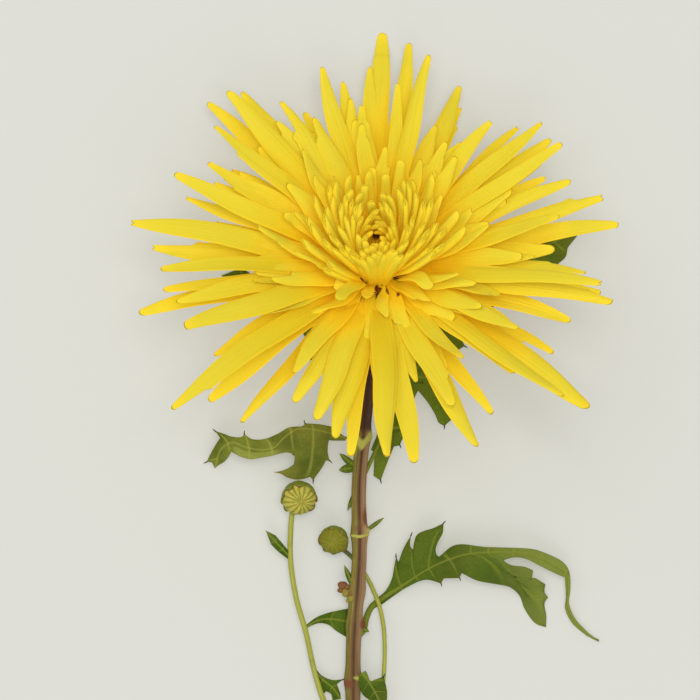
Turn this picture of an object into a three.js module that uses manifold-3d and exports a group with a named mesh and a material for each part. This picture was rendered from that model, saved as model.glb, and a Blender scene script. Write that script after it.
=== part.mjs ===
// Spider chrysanthemum: one cut, disbudded stem with its bloom, leaves and two side buds, lying on a flat
// surface with the bloom facing up. Millimetres, +Z up, the surface at z = 0.
// The pieces are made about the middle of the bloom: +X to its right, +Y away from the stem. The finished
// group is then moved so that the origin is the middle of the flower's footprint.
import * as THREE from "three";
import { mergeVertices } from "three/addons/utils/BufferGeometryUtils.js";
import Module from "manifold-3d";

const wasm = await Module();
wasm.setup();

// ---- driving dimensions ------------------------------------------------------------------------

const degree = Math.PI / 180;
const goldenAngle = 137.508; // degrees between one floret and the next
const gap = 0.3; // between two pieces that touch

const headHeight = 22; // receptacle's middle above the surface
const headTilt = 27 * degree; // how far the bloom's axis leans away from the stem
// receptacle that the florets grow from: [radius, height along the bloom's axis]
const coreProfile = [[8.8, 0.6], [8.8, 1.8], [7.8, 4.4], [6, 7.6], [3.8, 10]];
const discRadius = 2.6; // disc florets in the eye
const discTop = 15.5;

const rayThickness = 1.2; // along a floret's middle
const finestEdge = 0.06; // shorter ones are merged where florets cross
const floorClear = 0.45; // middle of a floret that lies on the surface

const calyxDepth = 9; // green cup behind the bloom
const stemEnd = -200; // cut end of the stem
const leafThickness = 0.8;
const petioleThickness = 1.5;

const colours = {
  ray: 0xf0c81e,
  disc: 0x9a7a1c,
  leaf: 0x4d6b2c,
  calyx: 0x5b7a33,
  stem: 0x7b6446,
  shoot: 0x8a9a3c,
  bud: 0x9aa244,
};

// ---- small tools -------------------------------------------------------------------------------

const mix = (a, b, t) => a + (b - a) * t;
const clamp = (x, low, high) => Math.min(high, Math.max(low, x));
const vec = (x, y, z) => new THREE.Vector3(x, y, z);
const range = (count) => Array.from({ length: count }, (_, i) => i);

function smooth(low, high, x) {
  const t = clamp((x - low) / (high - low), 0, 1);
  return t * t * (3 - 2 * t);
}

// A repeatable draw between 0 and 1 for each whole number.
function draw(n) {
  const x = Math.sin(n * 12.9898 + 4.1414) * 43758.5453;
  return x - Math.floor(x);
}

// Value at t of a list of [t, value] stops in rising order, straight between them.
function along(stops, t) {
  const next = stops.findIndex((stop) => stop[0] >= t);
  if (next === 0) {
    return stops[0][1];
  }
  if (next < 0) {
    return stops[stops.length - 1][1];
  }
  const [a, b] = [stops[next - 1], stops[next]];
  return mix(a[1], b[1], (t - a[0]) / (b[0] - a[0]));
}

// A closed body from a list of vertices and triangles, turned to face outwards and kept above the surface.
function bodyOf(vertices, triangles) {
  let volume = 0;
  for (const [a, b, c] of triangles) {
    volume += vertices[a].dot(vertices[b].clone().cross(vertices[c]));
  }
  for (const vertex of vertices) {
    vertex.z = Math.max(vertex.z, 0);
  }
  const faces = volume < 0 ? triangles.map(([a, b, c]) => [a, c, b]) : triangles;
  return new THREE.BufferGeometry().setFromPoints(vertices).setIndex(faces.flat());
}

// A closed body through rings of equal length. A ring of four corners or fewer is closed by a fan about
// its first corner, a larger one by a fan about its middle.
function loft(rings) {
  const n = rings[0].length;
  const vertices = rings.flat();
  const triangles = [];
  for (let i = 0; i + 1 < rings.length; i++) {
    for (let j = 0; j < n; j++) {
      const a = i * n + j;
      const b = i * n + ((j + 1) % n);
      triangles.push([a, b, b + n], [a, b + n, a + n]);
    }
  }
  const close = (ring, start, facing) => {
    const hub = n <= 4 ? start : vertices.length;
    if (n > 4) {
      const sum = ring.reduce((total, corner) => total.add(corner), vec(0, 0, 0));
      vertices.push(sum.divideScalar(n));
    }
    for (let j = n <= 4 ? 1 : 0; j < (n <= 4 ? n - 1 : n); j++) {
      const [a, b] = [start + j, start + ((j + 1) % n)];
      triangles.push(facing ? [hub, a, b] : [hub, b, a]);
    }
  };
  close(rings[0], 0, false);
  close(rings[rings.length - 1], (rings.length - 1) * n, true);
  return bodyOf(vertices, triangles);
}

function solidOf(geometry) {
  const bare = new THREE.BufferGeometry().setAttribute("position", geometry.getAttribute("position"));
  bare.setIndex(geometry.index);
  const merged = mergeVertices(bare, 1e-4);
  return new wasm.Manifold(
    new wasm.Mesh({
      numProp: 3,
      vertProperties: merged.attributes.position.array,
      triVerts: new Uint32Array(merged.index.array),
    }),
  );
}

// The largest body of a solid, as a geometry: a cut can leave loose scraps.
function geometryOf(solid) {
  const whole = solid.decompose().sort((a, b) => b.volume() - a.volume())[0];
  const mesh = whole.getMesh();
  const positions = new THREE.BufferAttribute(new Float32Array(mesh.vertProperties), mesh.numProp);
  return new THREE.BufferGeometry()
    .setAttribute("position", positions)
    .setIndex(new THREE.BufferAttribute(new Uint32Array(mesh.triVerts), 1));
}

const fuse = (geometries) => wasm.Manifold.union(geometries.map(solidOf));

// ---- the bloom's own frame ---------------------------------------------------------------------

// A direction given along the bloom's right, its top and its axis.
function headDirection(right, top, axis) {
  return vec(
    right,
    top * Math.cos(headTilt) + axis * Math.sin(headTilt),
    axis * Math.cos(headTilt) - top * Math.sin(headTilt),
  );
}

// A point given by its bearing round the bloom's axis, its distance from the axis and its height along it.
function headPoint(bearing, radius, height) {
  const offset = headDirection(radius * Math.cos(bearing), radius * Math.sin(bearing), height);
  return offset.add(vec(0, 0, headHeight));
}

// A body about the bloom's axis through [radius, height] stops; relief adds to the radius.
function headLathe(profile, sides, relief = () => 0) {
  const rings = profile.map(([radius, height]) =>
    range(sides).map((j) => {
      const bearing = (j / sides) * 2 * Math.PI;
      return headPoint(bearing, radius + relief(bearing, height), height);
    }),
  );
  return loft(rings);
}

// ---- ray florets -------------------------------------------------------------------------------

// Each kind of floret: places along its length and its breadth there, as parts of its width.
const strap = { thickness: rayThickness, breadth: [[0, 0.3], [0.42, 1], [0.82, 0.78], [1, 0.25]] };
const shortStrap = { thickness: rayThickness, breadth: [[0, 0.3], [0.36, 1], [0.85, 0.85], [1, 0.3]] };
const quill = { thickness: 1.1, breadth: [[0, 0.5], [0.6, 1], [1, 0.5]] };

// A floret on a circular arc in its bearing's plane. It leaves its root at elevation rise + bend and ends
// at rise - bend. A long strap's section is a shallow channel of four corners, and any other's is a keel of
// three.
function floret({ kind, bearing, rootRadius, rootHeight, chord, rise, bend, width, roll, sway }) {
  const start = rise + bend;
  const turn = -2 * bend;
  const radius = (chord * bend) / Math.sin(bend) / turn;
  const across = headDirection(-Math.sin(bearing), Math.cos(bearing), 0);
  const out = headDirection(Math.cos(bearing), Math.sin(bearing), 0);
  const axis = headDirection(0, 0, 1);
  const rings = kind.breadth.map(([s, breadth]) => {
    const elevation = start + turn * s;
    const centre = headPoint(
      bearing,
      rootRadius + radius * (Math.sin(elevation) - Math.sin(start)),
      rootHeight + radius * (Math.cos(start) - Math.cos(elevation)),
    ).addScaledVector(across, sway * s * s);
    if (centre.z < floorClear + 2) {
      centre.z = floorClear + 2 / (1 + Math.exp(1.4 * (floorClear + 1 - centre.z)));
    }
    const forward = out
      .clone()
      .multiplyScalar(Math.cos(elevation))
      .addScaledVector(axis, Math.sin(elevation));
    const side = across.clone().applyAxisAngle(forward, roll * s);
    const up = forward.clone().cross(side).negate();
    const half = (width / 2) * breadth;
    const thick = kind.thickness * mix(1, 0.7, s);
    const corner = (sideways, upwards) =>
      centre.clone().addScaledVector(side, sideways).addScaledVector(up, upwards);
    if (kind !== strap) {
      return [corner(0, -thick / 2), corner(half, thick / 2), corner(-half, thick / 2)];
    }
    const [edge, middle] = [thick * 0.3, thick * 0.35];
    return [corner(0, -thick / 2), corner(half, edge), corner(0, middle), corner(-half, edge)];
  });
  return loft(rings);
}

// Long outer florets, as seen along the surface's normal: bearing of the tip in degrees, reach of the
// tip from the bloom's middle, and width.
const longRays = [
  [89, 67.5, 6], [83, 53, 3.6], [82, 65, 5], [76.5, 62.5, 4.6], [66, 57.5, 5.4], [59.5, 39, 3.2],
  [56, 43, 4], [52.5, 53, 4.8], [46, 57, 3.8], [42.5, 62, 5], [37, 61, 5.4], [34.5, 62.5, 4.2],
  [29, 54, 5], [25.5, 59.5, 4.2], [18, 66.5, 5], [16, 53, 4.8], [11, 68.5, 5.4], [6, 44, 4.8],
  [0, 58, 4.4], [357, 62, 4.6], [355, 62.5, 4.4], [352.5, 65.5, 4.8], [345.5, 55.5, 5.6], [338, 42, 5],
  [328, 69.5, 7.2], [325.5, 62, 4.6], [323.5, 47.5, 5.4], [313, 34, 4.4], [300, 55.5, 6],
  [299, 43, 5.8], [281, 54, 6], [273, 51.5, 6.4], [256, 47.5, 6], [247.5, 44, 6],
  [238, 42.5, 5.2], [229.5, 36, 5.4], [217.5, 59, 5.8], [213.5, 68, 5.8], [206.5, 50.5, 6],
  [196.5, 55.5, 5.8], [189.7, 67, 5.2], [188, 56, 5], [185, 59.2, 4.6], [179, 59.7, 4.6],
  [173.5, 63, 6], [168.3, 69.8, 6], [159, 57, 5], [154.5, 62.3, 5], [151, 51.7, 4.6],
  [147.3, 56, 4.6], [144, 47.4, 4.2], [138.8, 60.7, 5], [135.4, 66.9, 5], [130.2, 65.2, 5.8],
  [127, 62.9, 6], [119.6, 55, 5.2], [113.8, 43, 4.6], [105, 59.5, 5], [100.5, 54.2, 4.8],
  [95, 47, 4.6], [92, 57.5, 4.8],
];
const rayFullness = 1.2; // how much wider a long floret is at its middle than the width listed for its end
const rayLifts = [9, 19, 14, 24]; // how far the long florets rise above the bloom's plane, taken in turn
const footBearing = 270; // the stem's side, where the middle whorls fall open and the long ones rise less
const sweep = 3.5; // sideways curve of the long florets at the bloom's upper left

function fromFoot(bearing) {
  return Math.abs(((bearing - footBearing + 540) % 360) - 180);
}

// The bearing and chord of the floret whose tip is seen at that bearing and reach, when its chord rises
// by lift above the bloom's plane.
function aimAt(bearing, reach, lift, { rootRadius, rootHeight }) {
  const slope = Math.tan(lift);
  const [sine, cosine] = [Math.sin(headTilt), Math.cos(headTilt)];
  const x = reach * Math.cos(bearing);
  const y = reach * Math.sin(bearing) - (rootHeight - rootRadius * slope) * sine;
  const a = cosine ** 2 - (slope * sine) ** 2;
  const b = 2 * y * slope * sine;
  const c = -(y ** 2) - (x * cosine) ** 2;
  const radius = (-b + Math.sqrt(b * b - 4 * a * c)) / (2 * a);
  return {
    bearing: Math.atan2((y - radius * slope * sine) / cosine, x),
    chord: (radius - rootRadius) / Math.cos(lift),
  };
}

function longFlorets() {
  return longRays.map(([bearing, reach, width], i) => {
    const taken = rayLifts[i % rayLifts.length] + 4 * (draw(i) - 0.5);
    const lift = mix(0.5, 1, smooth(20, 80, fromFoot(bearing))) * taken * degree;
    const root = { rootRadius: 7.4, rootHeight: 1.9 + 0.05 * taken };
    const swept = sweep * smooth(112, 124, bearing) * smooth(145, 136, bearing);
    const sway = swept + mix(-1.5, 1.5, draw(i + 300));
    return floret({
      kind: strap,
      ...root,
      ...aimAt(bearing * degree - sway / reach, reach, lift, root),
      rise: lift,
      bend: mix(5, 12, draw(i + 100)) * degree,
      width: rayFullness * width,
      roll: mix(-22, 22, draw(i + 200)) * degree,
      sway,
    });
  });
}

// The lowest florets droop below the bloom's plane; the foremost of them carry it on the surface.
const skirtBearings = [38, 66, 112, 141, 163, 231, 262, 306, 333];
function skirtFlorets() {
  return skirtBearings.map((bearing, i) =>
    floret({
      kind: shortStrap,
      bearing: bearing * degree,
      rootRadius: 7.6,
      rootHeight: 1.6,
      chord: mix(44, 52, draw(i + 400)),
      rise: -4 * degree,
      bend: 10 * degree,
      width: 4.8,
      roll: 0,
      sway: 0,
    }),
  );
}

// Shorter florets in a golden-angle spiral, from the middle whorls to the dome that closes over the eye.
// Each stop is [how far inward, value]. On the stem's side the outer ones fall open and the others stand up.
const innerCount = 124;
const quillsFrom = 0.5; // how far inward straps give way to quills
const fanWidth = 6; // the upright ones start close together and spread towards their tips
const lean = 9; // those at the bloom's sides lean this far away from the stem
const leanTurn = 18; // and start that many degrees nearer to it
const tipRadii = [[0, 48], [0.24, 35], [0.43, 26], [0.57, 19], [0.71, 12], [0.82, 7], [0.9, 3.6], [1, 1]];
const tipHeights = [
  [0, 15], [0.24, 18], [0.43, 21.5], [0.57, 24], [0.71, 25.5], [0.82, 25.5], [0.9, 24], [1, 18.5],
];
const bends = [[0, 9], [0.24, 4], [0.43, -3], [0.57, -8], [0.71, -11], [0.82, -15], [0.9, -22], [1, -40]];
const inwardWidths = [[0, 7.2], [0.24, 6.4], [0.43, 4.8], [0.5, 3], [0.57, 2.6], [0.71, 2.3], [1, 1.8]];
function innerFlorets() {
  return range(innerCount).map((i) => {
    const inward = i / (innerCount - 1);
    const way = (i * goldenAngle + mix(10, 26, inward) * (draw(i + 500) - 0.5)) % 360;
    const aside = ((way - footBearing + 540) % 360) - 180;
    const nearFoot = smooth(62, 30, Math.abs(aside));
    const fallen = nearFoot * smooth(0.49, 0.47, inward);
    const upright = nearFoot * smooth(0.47, 0.49, inward) * smooth(0.8, 0.66, inward);
    const leaning = smooth(0.25, 0.5, inward) * smooth(0.98, 0.8, inward);
    const level = Math.sin(aside * degree);
    const bearing = way - 0.4 * aside * upright - leanTurn * level * leaning * (1 - upright);
    const fan = level * Math.max(fanWidth * upright, lean * leaning);
    const rootRadius = mix(mix(8.2, 3.6, inward), 7.2, upright);
    const rootHeight = along([...coreProfile].reverse(), rootRadius) - 0.8;
    const spread = mix(1, 0.85, fallen) * mix(1, 0.38, upright);
    const tipRadius = along(tipRadii, inward) * mix(0.78, 1.22, draw(i + 600)) * spread;
    const drop = mix(-1.8, 1.2, draw(i + 900));
    const tipHeight = along(tipHeights, inward) * mix(1, 0.35, fallen) + drop;
    return floret({
      kind: inward >= quillsFrom ? quill : shortStrap,
      bearing: bearing * degree,
      rootRadius,
      rootHeight,
      chord: Math.hypot(tipRadius - rootRadius, tipHeight - rootHeight),
      rise: Math.atan2(tipHeight - rootHeight, tipRadius - rootRadius),
      bend: along(bends, inward) * degree,
      width: along(inwardWidths, inward),
      roll: mix(-30, 30, draw(i + 700)) * degree,
      sway: fan + mix(-1.6, 1.6, draw(i + 800)),
    });
  });
}

function makeBloom() {
  const florets = fuse([headLathe(coreProfile, 14), ...longFlorets(), ...skirtFlorets(), ...innerFlorets()]);
  const [, coreTop] = coreProfile[coreProfile.length - 1];
  const eye = headLathe([[discRadius + 0.5, coreTop], [discRadius + 0.5, discTop + gap]], 12);
  return geometryOf(florets.subtract(solidOf(eye)).simplify(finestEdge));
}

// The unopened florets at the bottom of the eye: small blunt cones on a low button.
function makeDisc() {
  const [, coreTop] = coreProfile[coreProfile.length - 1];
  const base = coreTop + gap;
  const button = headLathe([[discRadius, base], [discRadius, base + 1.6], [1.4, base + 2.4]], 10);
  const cones = range(12).map((i) => {
    const radius = 0.6 * Math.sqrt(i);
    const bearing = i * goldenAngle * degree;
    const ring = (height, size) =>
      range(4).map((k) => {
        const angle = (k / 4) * 2 * Math.PI + bearing;
        return headPoint(bearing, radius, height)
          .add(headDirection(size * Math.cos(angle), size * Math.sin(angle), 0));
      });
    return loft([ring(base + 1, 0.42), ring(discTop - 0.7, 0.46), ring(discTop - 0.1, 0.16)]);
  });
  return geometryOf(fuse([button, ...cones]));
}

// ---- calyx -------------------------------------------------------------------------------------

// Overlapping bracts stand out of the cup in rows: each row's relief grows towards its own upper edge,
// which is cut into round tips.
const bractRows = [[-8.4, 9], [-6, 12], [-3.2, 15]]; // foot of the row, number of bracts
const bractRise = 3.6; // length of a bract
const bractProud = 1;
// outline of the cup: [height along the bloom's axis, radius]
const cupProfile = [
  [-calyxDepth, 2.7], [-8, 4.2], [-7, 5.6], [-6, 6.7], [-5, 7.4], [-4, 7.9], [-3, 8.3], [-2, 8.6], [-1, 8.7],
];
function calyxRelief(bearing, height) {
  return bractRows.reduce((most, [foot, count], row) => {
    const place = (bearing / (2 * Math.PI)) * count + row / 2;
    const arch = 1 - (2 * (place - Math.floor(place)) - 1) ** 2;
    const tip = foot + bractRise * (0.55 + 0.45 * arch);
    const rising = (height - foot) / bractRise;
    return height < tip && height > foot ? Math.max(most, bractProud * rising * (0.4 + 0.6 * arch)) : most;
  }, 0);
}

function makeCalyx() {
  const rim = [coreProfile[0][1] - gap, 8.4];
  const profile = [...cupProfile, rim].map(([height, radius]) => [radius, height]);
  return headLathe(profile, 36, calyxRelief);
}

// ---- stem --------------------------------------------------------------------------------------

// A stalk swept along a curve. radiusAt gives its radius from place, angle and centre; slant shears the
// last ring, as an oblique cut does.
function stalk(points, radiusAt, sides, steps, slant = 0) {
  const curve = new THREE.CatmullRomCurve3(points, false, "centripetal");
  const rings = range(steps + 1).map((i) => {
    const centre = curve.getPointAt(i / steps);
    const forward = curve.getTangentAt(i / steps);
    const side = vec(0, 0, 1).cross(forward).normalize();
    const up = forward.clone().cross(side);
    return range(sides).map((j) => {
      const angle = ((j + 0.5) / sides) * 2 * Math.PI;
      const radius = radiusAt(i / steps, angle, centre);
      const cut = i === steps ? slant * radius * Math.sin(angle) : 0;
      return centre
        .clone()
        .addScaledVector(side, radius * Math.cos(angle))
        .addScaledVector(up, radius * Math.sin(angle))
        .addScaledVector(forward, cut);
    });
  });
  return loft(rings);
}

const stemPath = [
  headPoint(0, 0, -calyxDepth - gap),
  vec(0, -6, 10.7),
  vec(-0.3, -9.5, 7.9),
  vec(-1, -15, 6.2),
  vec(-2.4, -30, 5.6),
  vec(-3.9, -45, 5.2),
  vec(-5.1, -60, 4.9),
  vec(-5, -80, 4.5),
  vec(-6.4, -99, 4),
  vec(-6.8, -115, 3.7),
  vec(-6.2, -140, 3.2),
  vec(-5.4, -170, 2.7),
  vec(-5, stemEnd, 2.15),
];
const stemTaper = [[stemEnd, 2.15], [-60, 2.05], [-15, 1.9], [0, 2.5]];
const stemNodes = [-22, -46, -73, -89, -99, -114, -142, -168]; // where the leaf nodes are, along Y
const nodeSwelling = { height: 0.4, length: 2.6 };
const stemRibs = { count: 5, depth: 0.05 };
const cutSlant = 0.7;

function stemBody(clearance) {
  const radiusAt = (t, angle, centre) => {
    const swelling = stemNodes.reduce((sum, node) => {
      const offset = (centre.y - node) / nodeSwelling.length;
      return sum + nodeSwelling.height * Math.exp(-(offset ** 2));
    }, 0);
    const rib = 1 + stemRibs.depth * Math.cos(stemRibs.count * angle);
    return (along(stemTaper, centre.y) + swelling) * rib + clearance;
  };
  return stalk(stemPath, radiusAt, 10, 38, cutSlant);
}

// What grows from the stem is cut back to just clear of it.
const stemRoom = solidOf(stemBody(gap));
const clearOfStem = (solid) => geometryOf(solid.subtract(stemRoom));

// ---- leaves ------------------------------------------------------------------------------------

// A leaf on its midrib, a line of points. Each side is the outline of one half, from the foot to the tip,
// seen from above; its points hang below the midrib by fall for each millimetre away from it. The leaf is
// thicker within about foot millimetres of where it starts.
function leaf({ midrib, sides, falls, foot = 9 }) {
  const rib = midrib.map((point) => vec(...point));
  const heightAt = (x, y, fall) => {
    let nearest = [Infinity, 0];
    for (let i = 0; i + 1 < rib.length; i++) {
      const place = new THREE.Line3(vec(rib[i].x, rib[i].y, 0), vec(rib[i + 1].x, rib[i + 1].y, 0));
      const t = place.closestPointToPointParameter(vec(x, y, 0), true);
      const distance = place.at(t, vec(0, 0, 0)).distanceTo(vec(x, y, 0));
      if (distance < nearest[0]) {
        nearest = [distance, mix(rib[i].z, rib[i + 1].z, t) - fall * distance];
      }
    }
    return Math.max(nearest[1], leafThickness / 2);
  };
  const points = [...rib];
  const triangles = [];
  const edges = sides.map((outline, k) => {
    const first = points.length;
    points.push(...outline.map(([x, y]) => vec(x, y, heightAt(x, y, falls[k]))));
    return outline.map((_, i) => first + i);
  });
  edges.forEach((edge, k) => {
    const loop = [...range(rib.length), ...[...edge].reverse()];
    const flat = loop.map((i) => new THREE.Vector2(points[i].x, points[i].y));
    const turned = THREE.ShapeUtils.area(flat) < 0;
    if (turned) {
      loop.reverse();
      flat.reverse();
    }
    for (const [a, b, c] of THREE.ShapeUtils.triangulateShape(flat, [])) {
      triangles.push([loop[a], loop[b], loop[c]]);
    }
  });
  const sheet = new THREE.BufferGeometry().setFromPoints(points).setIndex(triangles.flat());
  sheet.computeVertexNormals();
  const normals = sheet.getAttribute("normal");
  const offset = (point, i, sign) => {
    const reach = point.distanceTo(rib[0]);
    const thick = mix(petioleThickness, leafThickness, smooth(foot * 0.6, foot * 1.3, reach));
    const normal = vec(normals.getX(i), normals.getY(i), normals.getZ(i));
    return point.clone().addScaledVector(normal, (sign * thick) / 2);
  };
  const n = points.length;
  const vertices = [...points.map((p, i) => offset(p, i, 1)), ...points.map((p, i) => offset(p, i, -1))];
  const body = triangles.flatMap(([a, b, c]) => [[a, b, c], [a + n, c + n, b + n]]);
  const counted = new Map();
  for (const [a, b, c] of triangles) {
    for (const [from, to] of [[a, b], [b, c], [c, a]]) {
      counted.set(`${from} ${to}`, [from, to]);
    }
  }
  for (const [from, to] of counted.values()) {
    if (!counted.has(`${to} ${from}`)) {
      body.push([from, from + n, to + n], [from, to + n, to]);
    }
  }
  return bodyOf(vertices, body);
}

const leaves = {
  // curled leaf on the left, its near lobe hanging towards the stem's foot
  leaf_left: {
    midrib: [[-6, -46.4, 5.2], [-8.6, -46.3, 6], [-13, -45, 8], [-18, -43.9, 9.6], [-22.5, -43.9, 10.4],
      [-26, -46.3, 10.2], [-28.8, -49, 9.4], [-33, -49.6, 8.6], [-37, -48.8, 8.2], [-40.5, -47.6, 7.4],
      [-43.6, -49.5, 5.6], [-45.4, -54.8, 2.6]],
    sides: [
      [[-6, -45.6], [-8.6, -45.5], [-12.3, -43.2], [-15.9, -42.5], [-20.1, -42.1], [-24.4, -43.2],
        [-27.9, -45.2], [-31.5, -46.6], [-35, -46.6], [-37.1, -45.2], [-38, -46.1], [-43.3, -45.1],
        [-45.3, -44.3], [-44, -46.3], [-45.5, -48.6], [-47.7, -53.1], [-46.2, -53.2]],
      [[-6, -47.2], [-8.8, -47.1], [-13.6, -46.9], [-13.8, -49.8], [-13.3, -52.6], [-14.6, -53.4],
        [-17.8, -58], [-19, -57.3], [-23, -58], [-26.5, -56.9], [-28.9, -55.9], [-23.7, -55.1],
        [-22.6, -53.3], [-23, -51.8], [-24.6, -50.9], [-28, -50.9], [-31.5, -51.8], [-35, -52.5],
        [-37.5, -51.9], [-40.7, -49.9], [-42.5, -51.6]],
    ],
    falls: [0.2, 0.45],
  },
  // large leaf on the right: two lobes above its midrib, a long drooping one below, and a twisted tip
  leaf_right: {
    midrib: [[-4, -100.8, 3.6], [-2.8, -96.5, 1.5], [-1.2, -93.4, 0.9], [1.5, -91.4, 1.1], [7.5, -87.5, 3.4],
      [13.7, -83.4, 6], [18.8, -80.9, 7.4], [25, -78.9, 8.2], [30.6, -78.4, 8.4], [38.3, -78.4, 8],
      [43.5, -79.2, 7.4], [48.6, -81.6, 6.2], [53, -84.6, 5], [53.6, -89, 3.8], [53.3, -93, 2.8],
      [55.2, -97.4, 1.8], [59, -101.4, 1], [62.3, -103.3, 0.6]],
    sides: [
      [[-4.8, -100.8], [-3.6, -96.2], [-2, -92.9], [2.4, -89.3], [4.2, -86], [5.4, -79.6], [6.2, -81],
        [7.5, -77.3], [9.6, -73.6], [9.4, -76.6], [10.1, -77.6], [11.1, -73.7], [12.6, -72.6],
        [15.7, -71.6], [18.7, -70.2], [18.4, -73.2], [16.7, -75.7], [16.2, -78.6], [17.3, -79.6],
        [21.9, -76.3], [30.6, -76.8], [43.5, -77.4], [52.2, -81.1], [53.9, -83.6], [54.3, -89],
        [54, -92.7], [55.8, -96.9], [59.3, -100.9]],
      [[-3.2, -100.8], [-2, -96.7], [-0.4, -93.9], [4.9, -90.6], [8.5, -88.2], [13.7, -86.1], [18, -87.1],
        [18.8, -85.7], [23.2, -85.6], [23.8, -84.2], [28.1, -86.3], [33.2, -87.3], [37.3, -88.2],
        [40.1, -90.7], [41.4, -94.2], [44.5, -98.4], [47.5, -99.5], [47.6, -96.3], [47.1, -92.7],
        [48.1, -91.1], [47.3, -87.4], [44.5, -85.6], [43.5, -86.2], [43.8, -83.4], [41.4, -82.4],
        [36.3, -81.7], [35.3, -80.6], [38.3, -79.7], [46.1, -82.5], [52.6, -85.5], [53, -89],
        [52.6, -93], [54.6, -97.9], [58.7, -101.9]],
    ],
    falls: [0.1, 0.42],
  },
  // two leaves on the surface, partly under the bloom
  leaf_under_left: {
    midrib: [[-4, -42.6, 4.4], [-5.8, -37, 3], [-9, -29, 2], [-15.5, -19, 1.2], [-24, -10.4, 0.4],
      [-33, -5, 0.4], [-43.5, -0.8, 0.4]],
    sides: [
      [[-4.9, -43], [-7.2, -41], [-7.4, -36], [-10.4, -34.6], [-11.6, -28.6], [-14.6, -24.6], [-19.4, -24.4],
        [-19.6, -19.6], [-21.4, -15.6], [-27, -16.4], [-28, -12.2], [-30.4, -9], [-35.4, -10.2], [-36.4, -7],
        [-40.4, -4.6]],
      [[-3.2, -42.2], [-4.4, -36], [-5.4, -28.6], [-4.4, -22], [-8.4, -19.4], [-10, -14.6], [-8.6, -9.4],
        [-14.4, -10.4], [-17.4, -8], [-18.8, -2.4], [-23.6, -5.4], [-28.6, 0.4], [-32.6, -1.4], [-38, 1.4]],
    ],
    falls: [0.02, 0.02],
  },
  leaf_under_right: {
    midrib: [[-3.6, -57, 3.4], [-0.6, -50.6, 2.2], [4, -41, 1.2], [10.6, -28, 1], [20, -13.6, 0.4],
      [32, -1.6, 0.4], [44.6, 6.2, 0.4], [57.4, 11.8, 0.4]],
    sides: [
      [[-4.2, -56], [-1.6, -49.6], [0.4, -44], [-0.6, -38], [0.6, -32], [5, -31], [4.6, -25.4], [2.6, -19.4],
        [7.6, -19.6], [11.4, -17.8], [9.6, -10], [12.4, -4.6], [17.6, -8], [19.4, 0.6], [21.6, 7.4],
        [26.4, 0.8], [31.8, 3.4], [34, 10.6], [38.6, 6.6], [44, 12.4], [51, 13]],
      [[-3, -58.6], [-0.9, -57], [1.1, -58.3], [2.8, -53.7], [5.1, -48.1], [6.5, -48.4], [8.1, -44.4],
        [9.5, -39], [11, -34.2], [13.4, -30.6], [15.8, -33], [16.6, -36.5], [17.2, -41.9], [19, -43],
        [21.7, -40.6], [20.5, -35.5], [20.6, -30], [19.4, -24], [24.6, -20.6], [23.8, -17], [27.2, -12.6],
        [33.6, -9], [36, -5.2], [43, -4.6], [44.4, -1.6], [48.5, 0.5], [51.3, 2.8], [53, 4.4], [53.6, 7]],
    ],
    falls: [0.02, 0.02],
  },
  // short leaf at the lowest node that has one, on the near side
  leaf_low: {
    midrib: [[-3.9, -112, 5.6], [-1.4, -116, 5.6], [0.4, -119.4, 5.2], [1.4, -123.4, 4.4]],
    sides: [
      [[-3.2, -111.4], [-0.7, -114.6], [1.9, -113.7], [2.9, -118], [2.8, -121.4]],
      [[-4.8, -112.8], [-4.6, -115.4], [-3.2, -118.6], [-1.6, -119.4], [-0.4, -122.4]],
    ],
    falls: [0.05, 0.1],
    foot: 1,
  },
};

// Small bracts at the nodes: [foot, tip, half width], one or two to a node.
const bracts = {
  bract_pair: [
    [[-5.6, -54.8, 4.8], [-10.4, -50.7, 5.4], 1],
    [[-5.6, -54.4, 4.6], [-10.6, -55.4, 4.4], 1.3],
  ],
  bract_left: [[[-5.8, -61, 4.4], [-8.2, -66.8, 4], 0.7]],
  bract_right: [[[-3, -72.4, 4.8], [2.1, -68.6, 5.8], 0.6]],
  bract_stub: [[[-6.6, -88, 5], [-9.1, -82, 5.8], 0.8]],
};

function bract([foot, tip, half]) {
  const forward = vec(...tip).sub(vec(...foot));
  const side = vec(0, 0, 1).cross(forward).normalize();
  const up = forward.clone().normalize().cross(side);
  const rings = [[0, 0.7], [0.4, 1], [0.75, 0.7], [1, 0.1]].map(([s, breadth]) => {
    const centre = vec(...foot).addScaledVector(forward, s);
    const corner = (a, b) => centre.clone().addScaledVector(side, a).addScaledVector(up, b);
    return [corner(0, -0.4), corner(half * breadth, 0.1), corner(0, 0.4), corner(-half * breadth, 0.1)];
  });
  return loft(rings);
}

// ---- side shoots and buds ----------------------------------------------------------------------

const buds = {
  bud_left: { centre: [-21.8, -63.1, 6.2], radius: 4.7, apex: [0.2, -0.12, 1], florets: 15 },
  bud_right: { centre: [-12, -74.9, 5.2], radius: 3.9, apex: [-0.05, 0.1, 1], florets: 13 },
};
const cupBracts = 8; // round bracts about a bud's underside
const budFlattening = 0.86;

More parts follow.
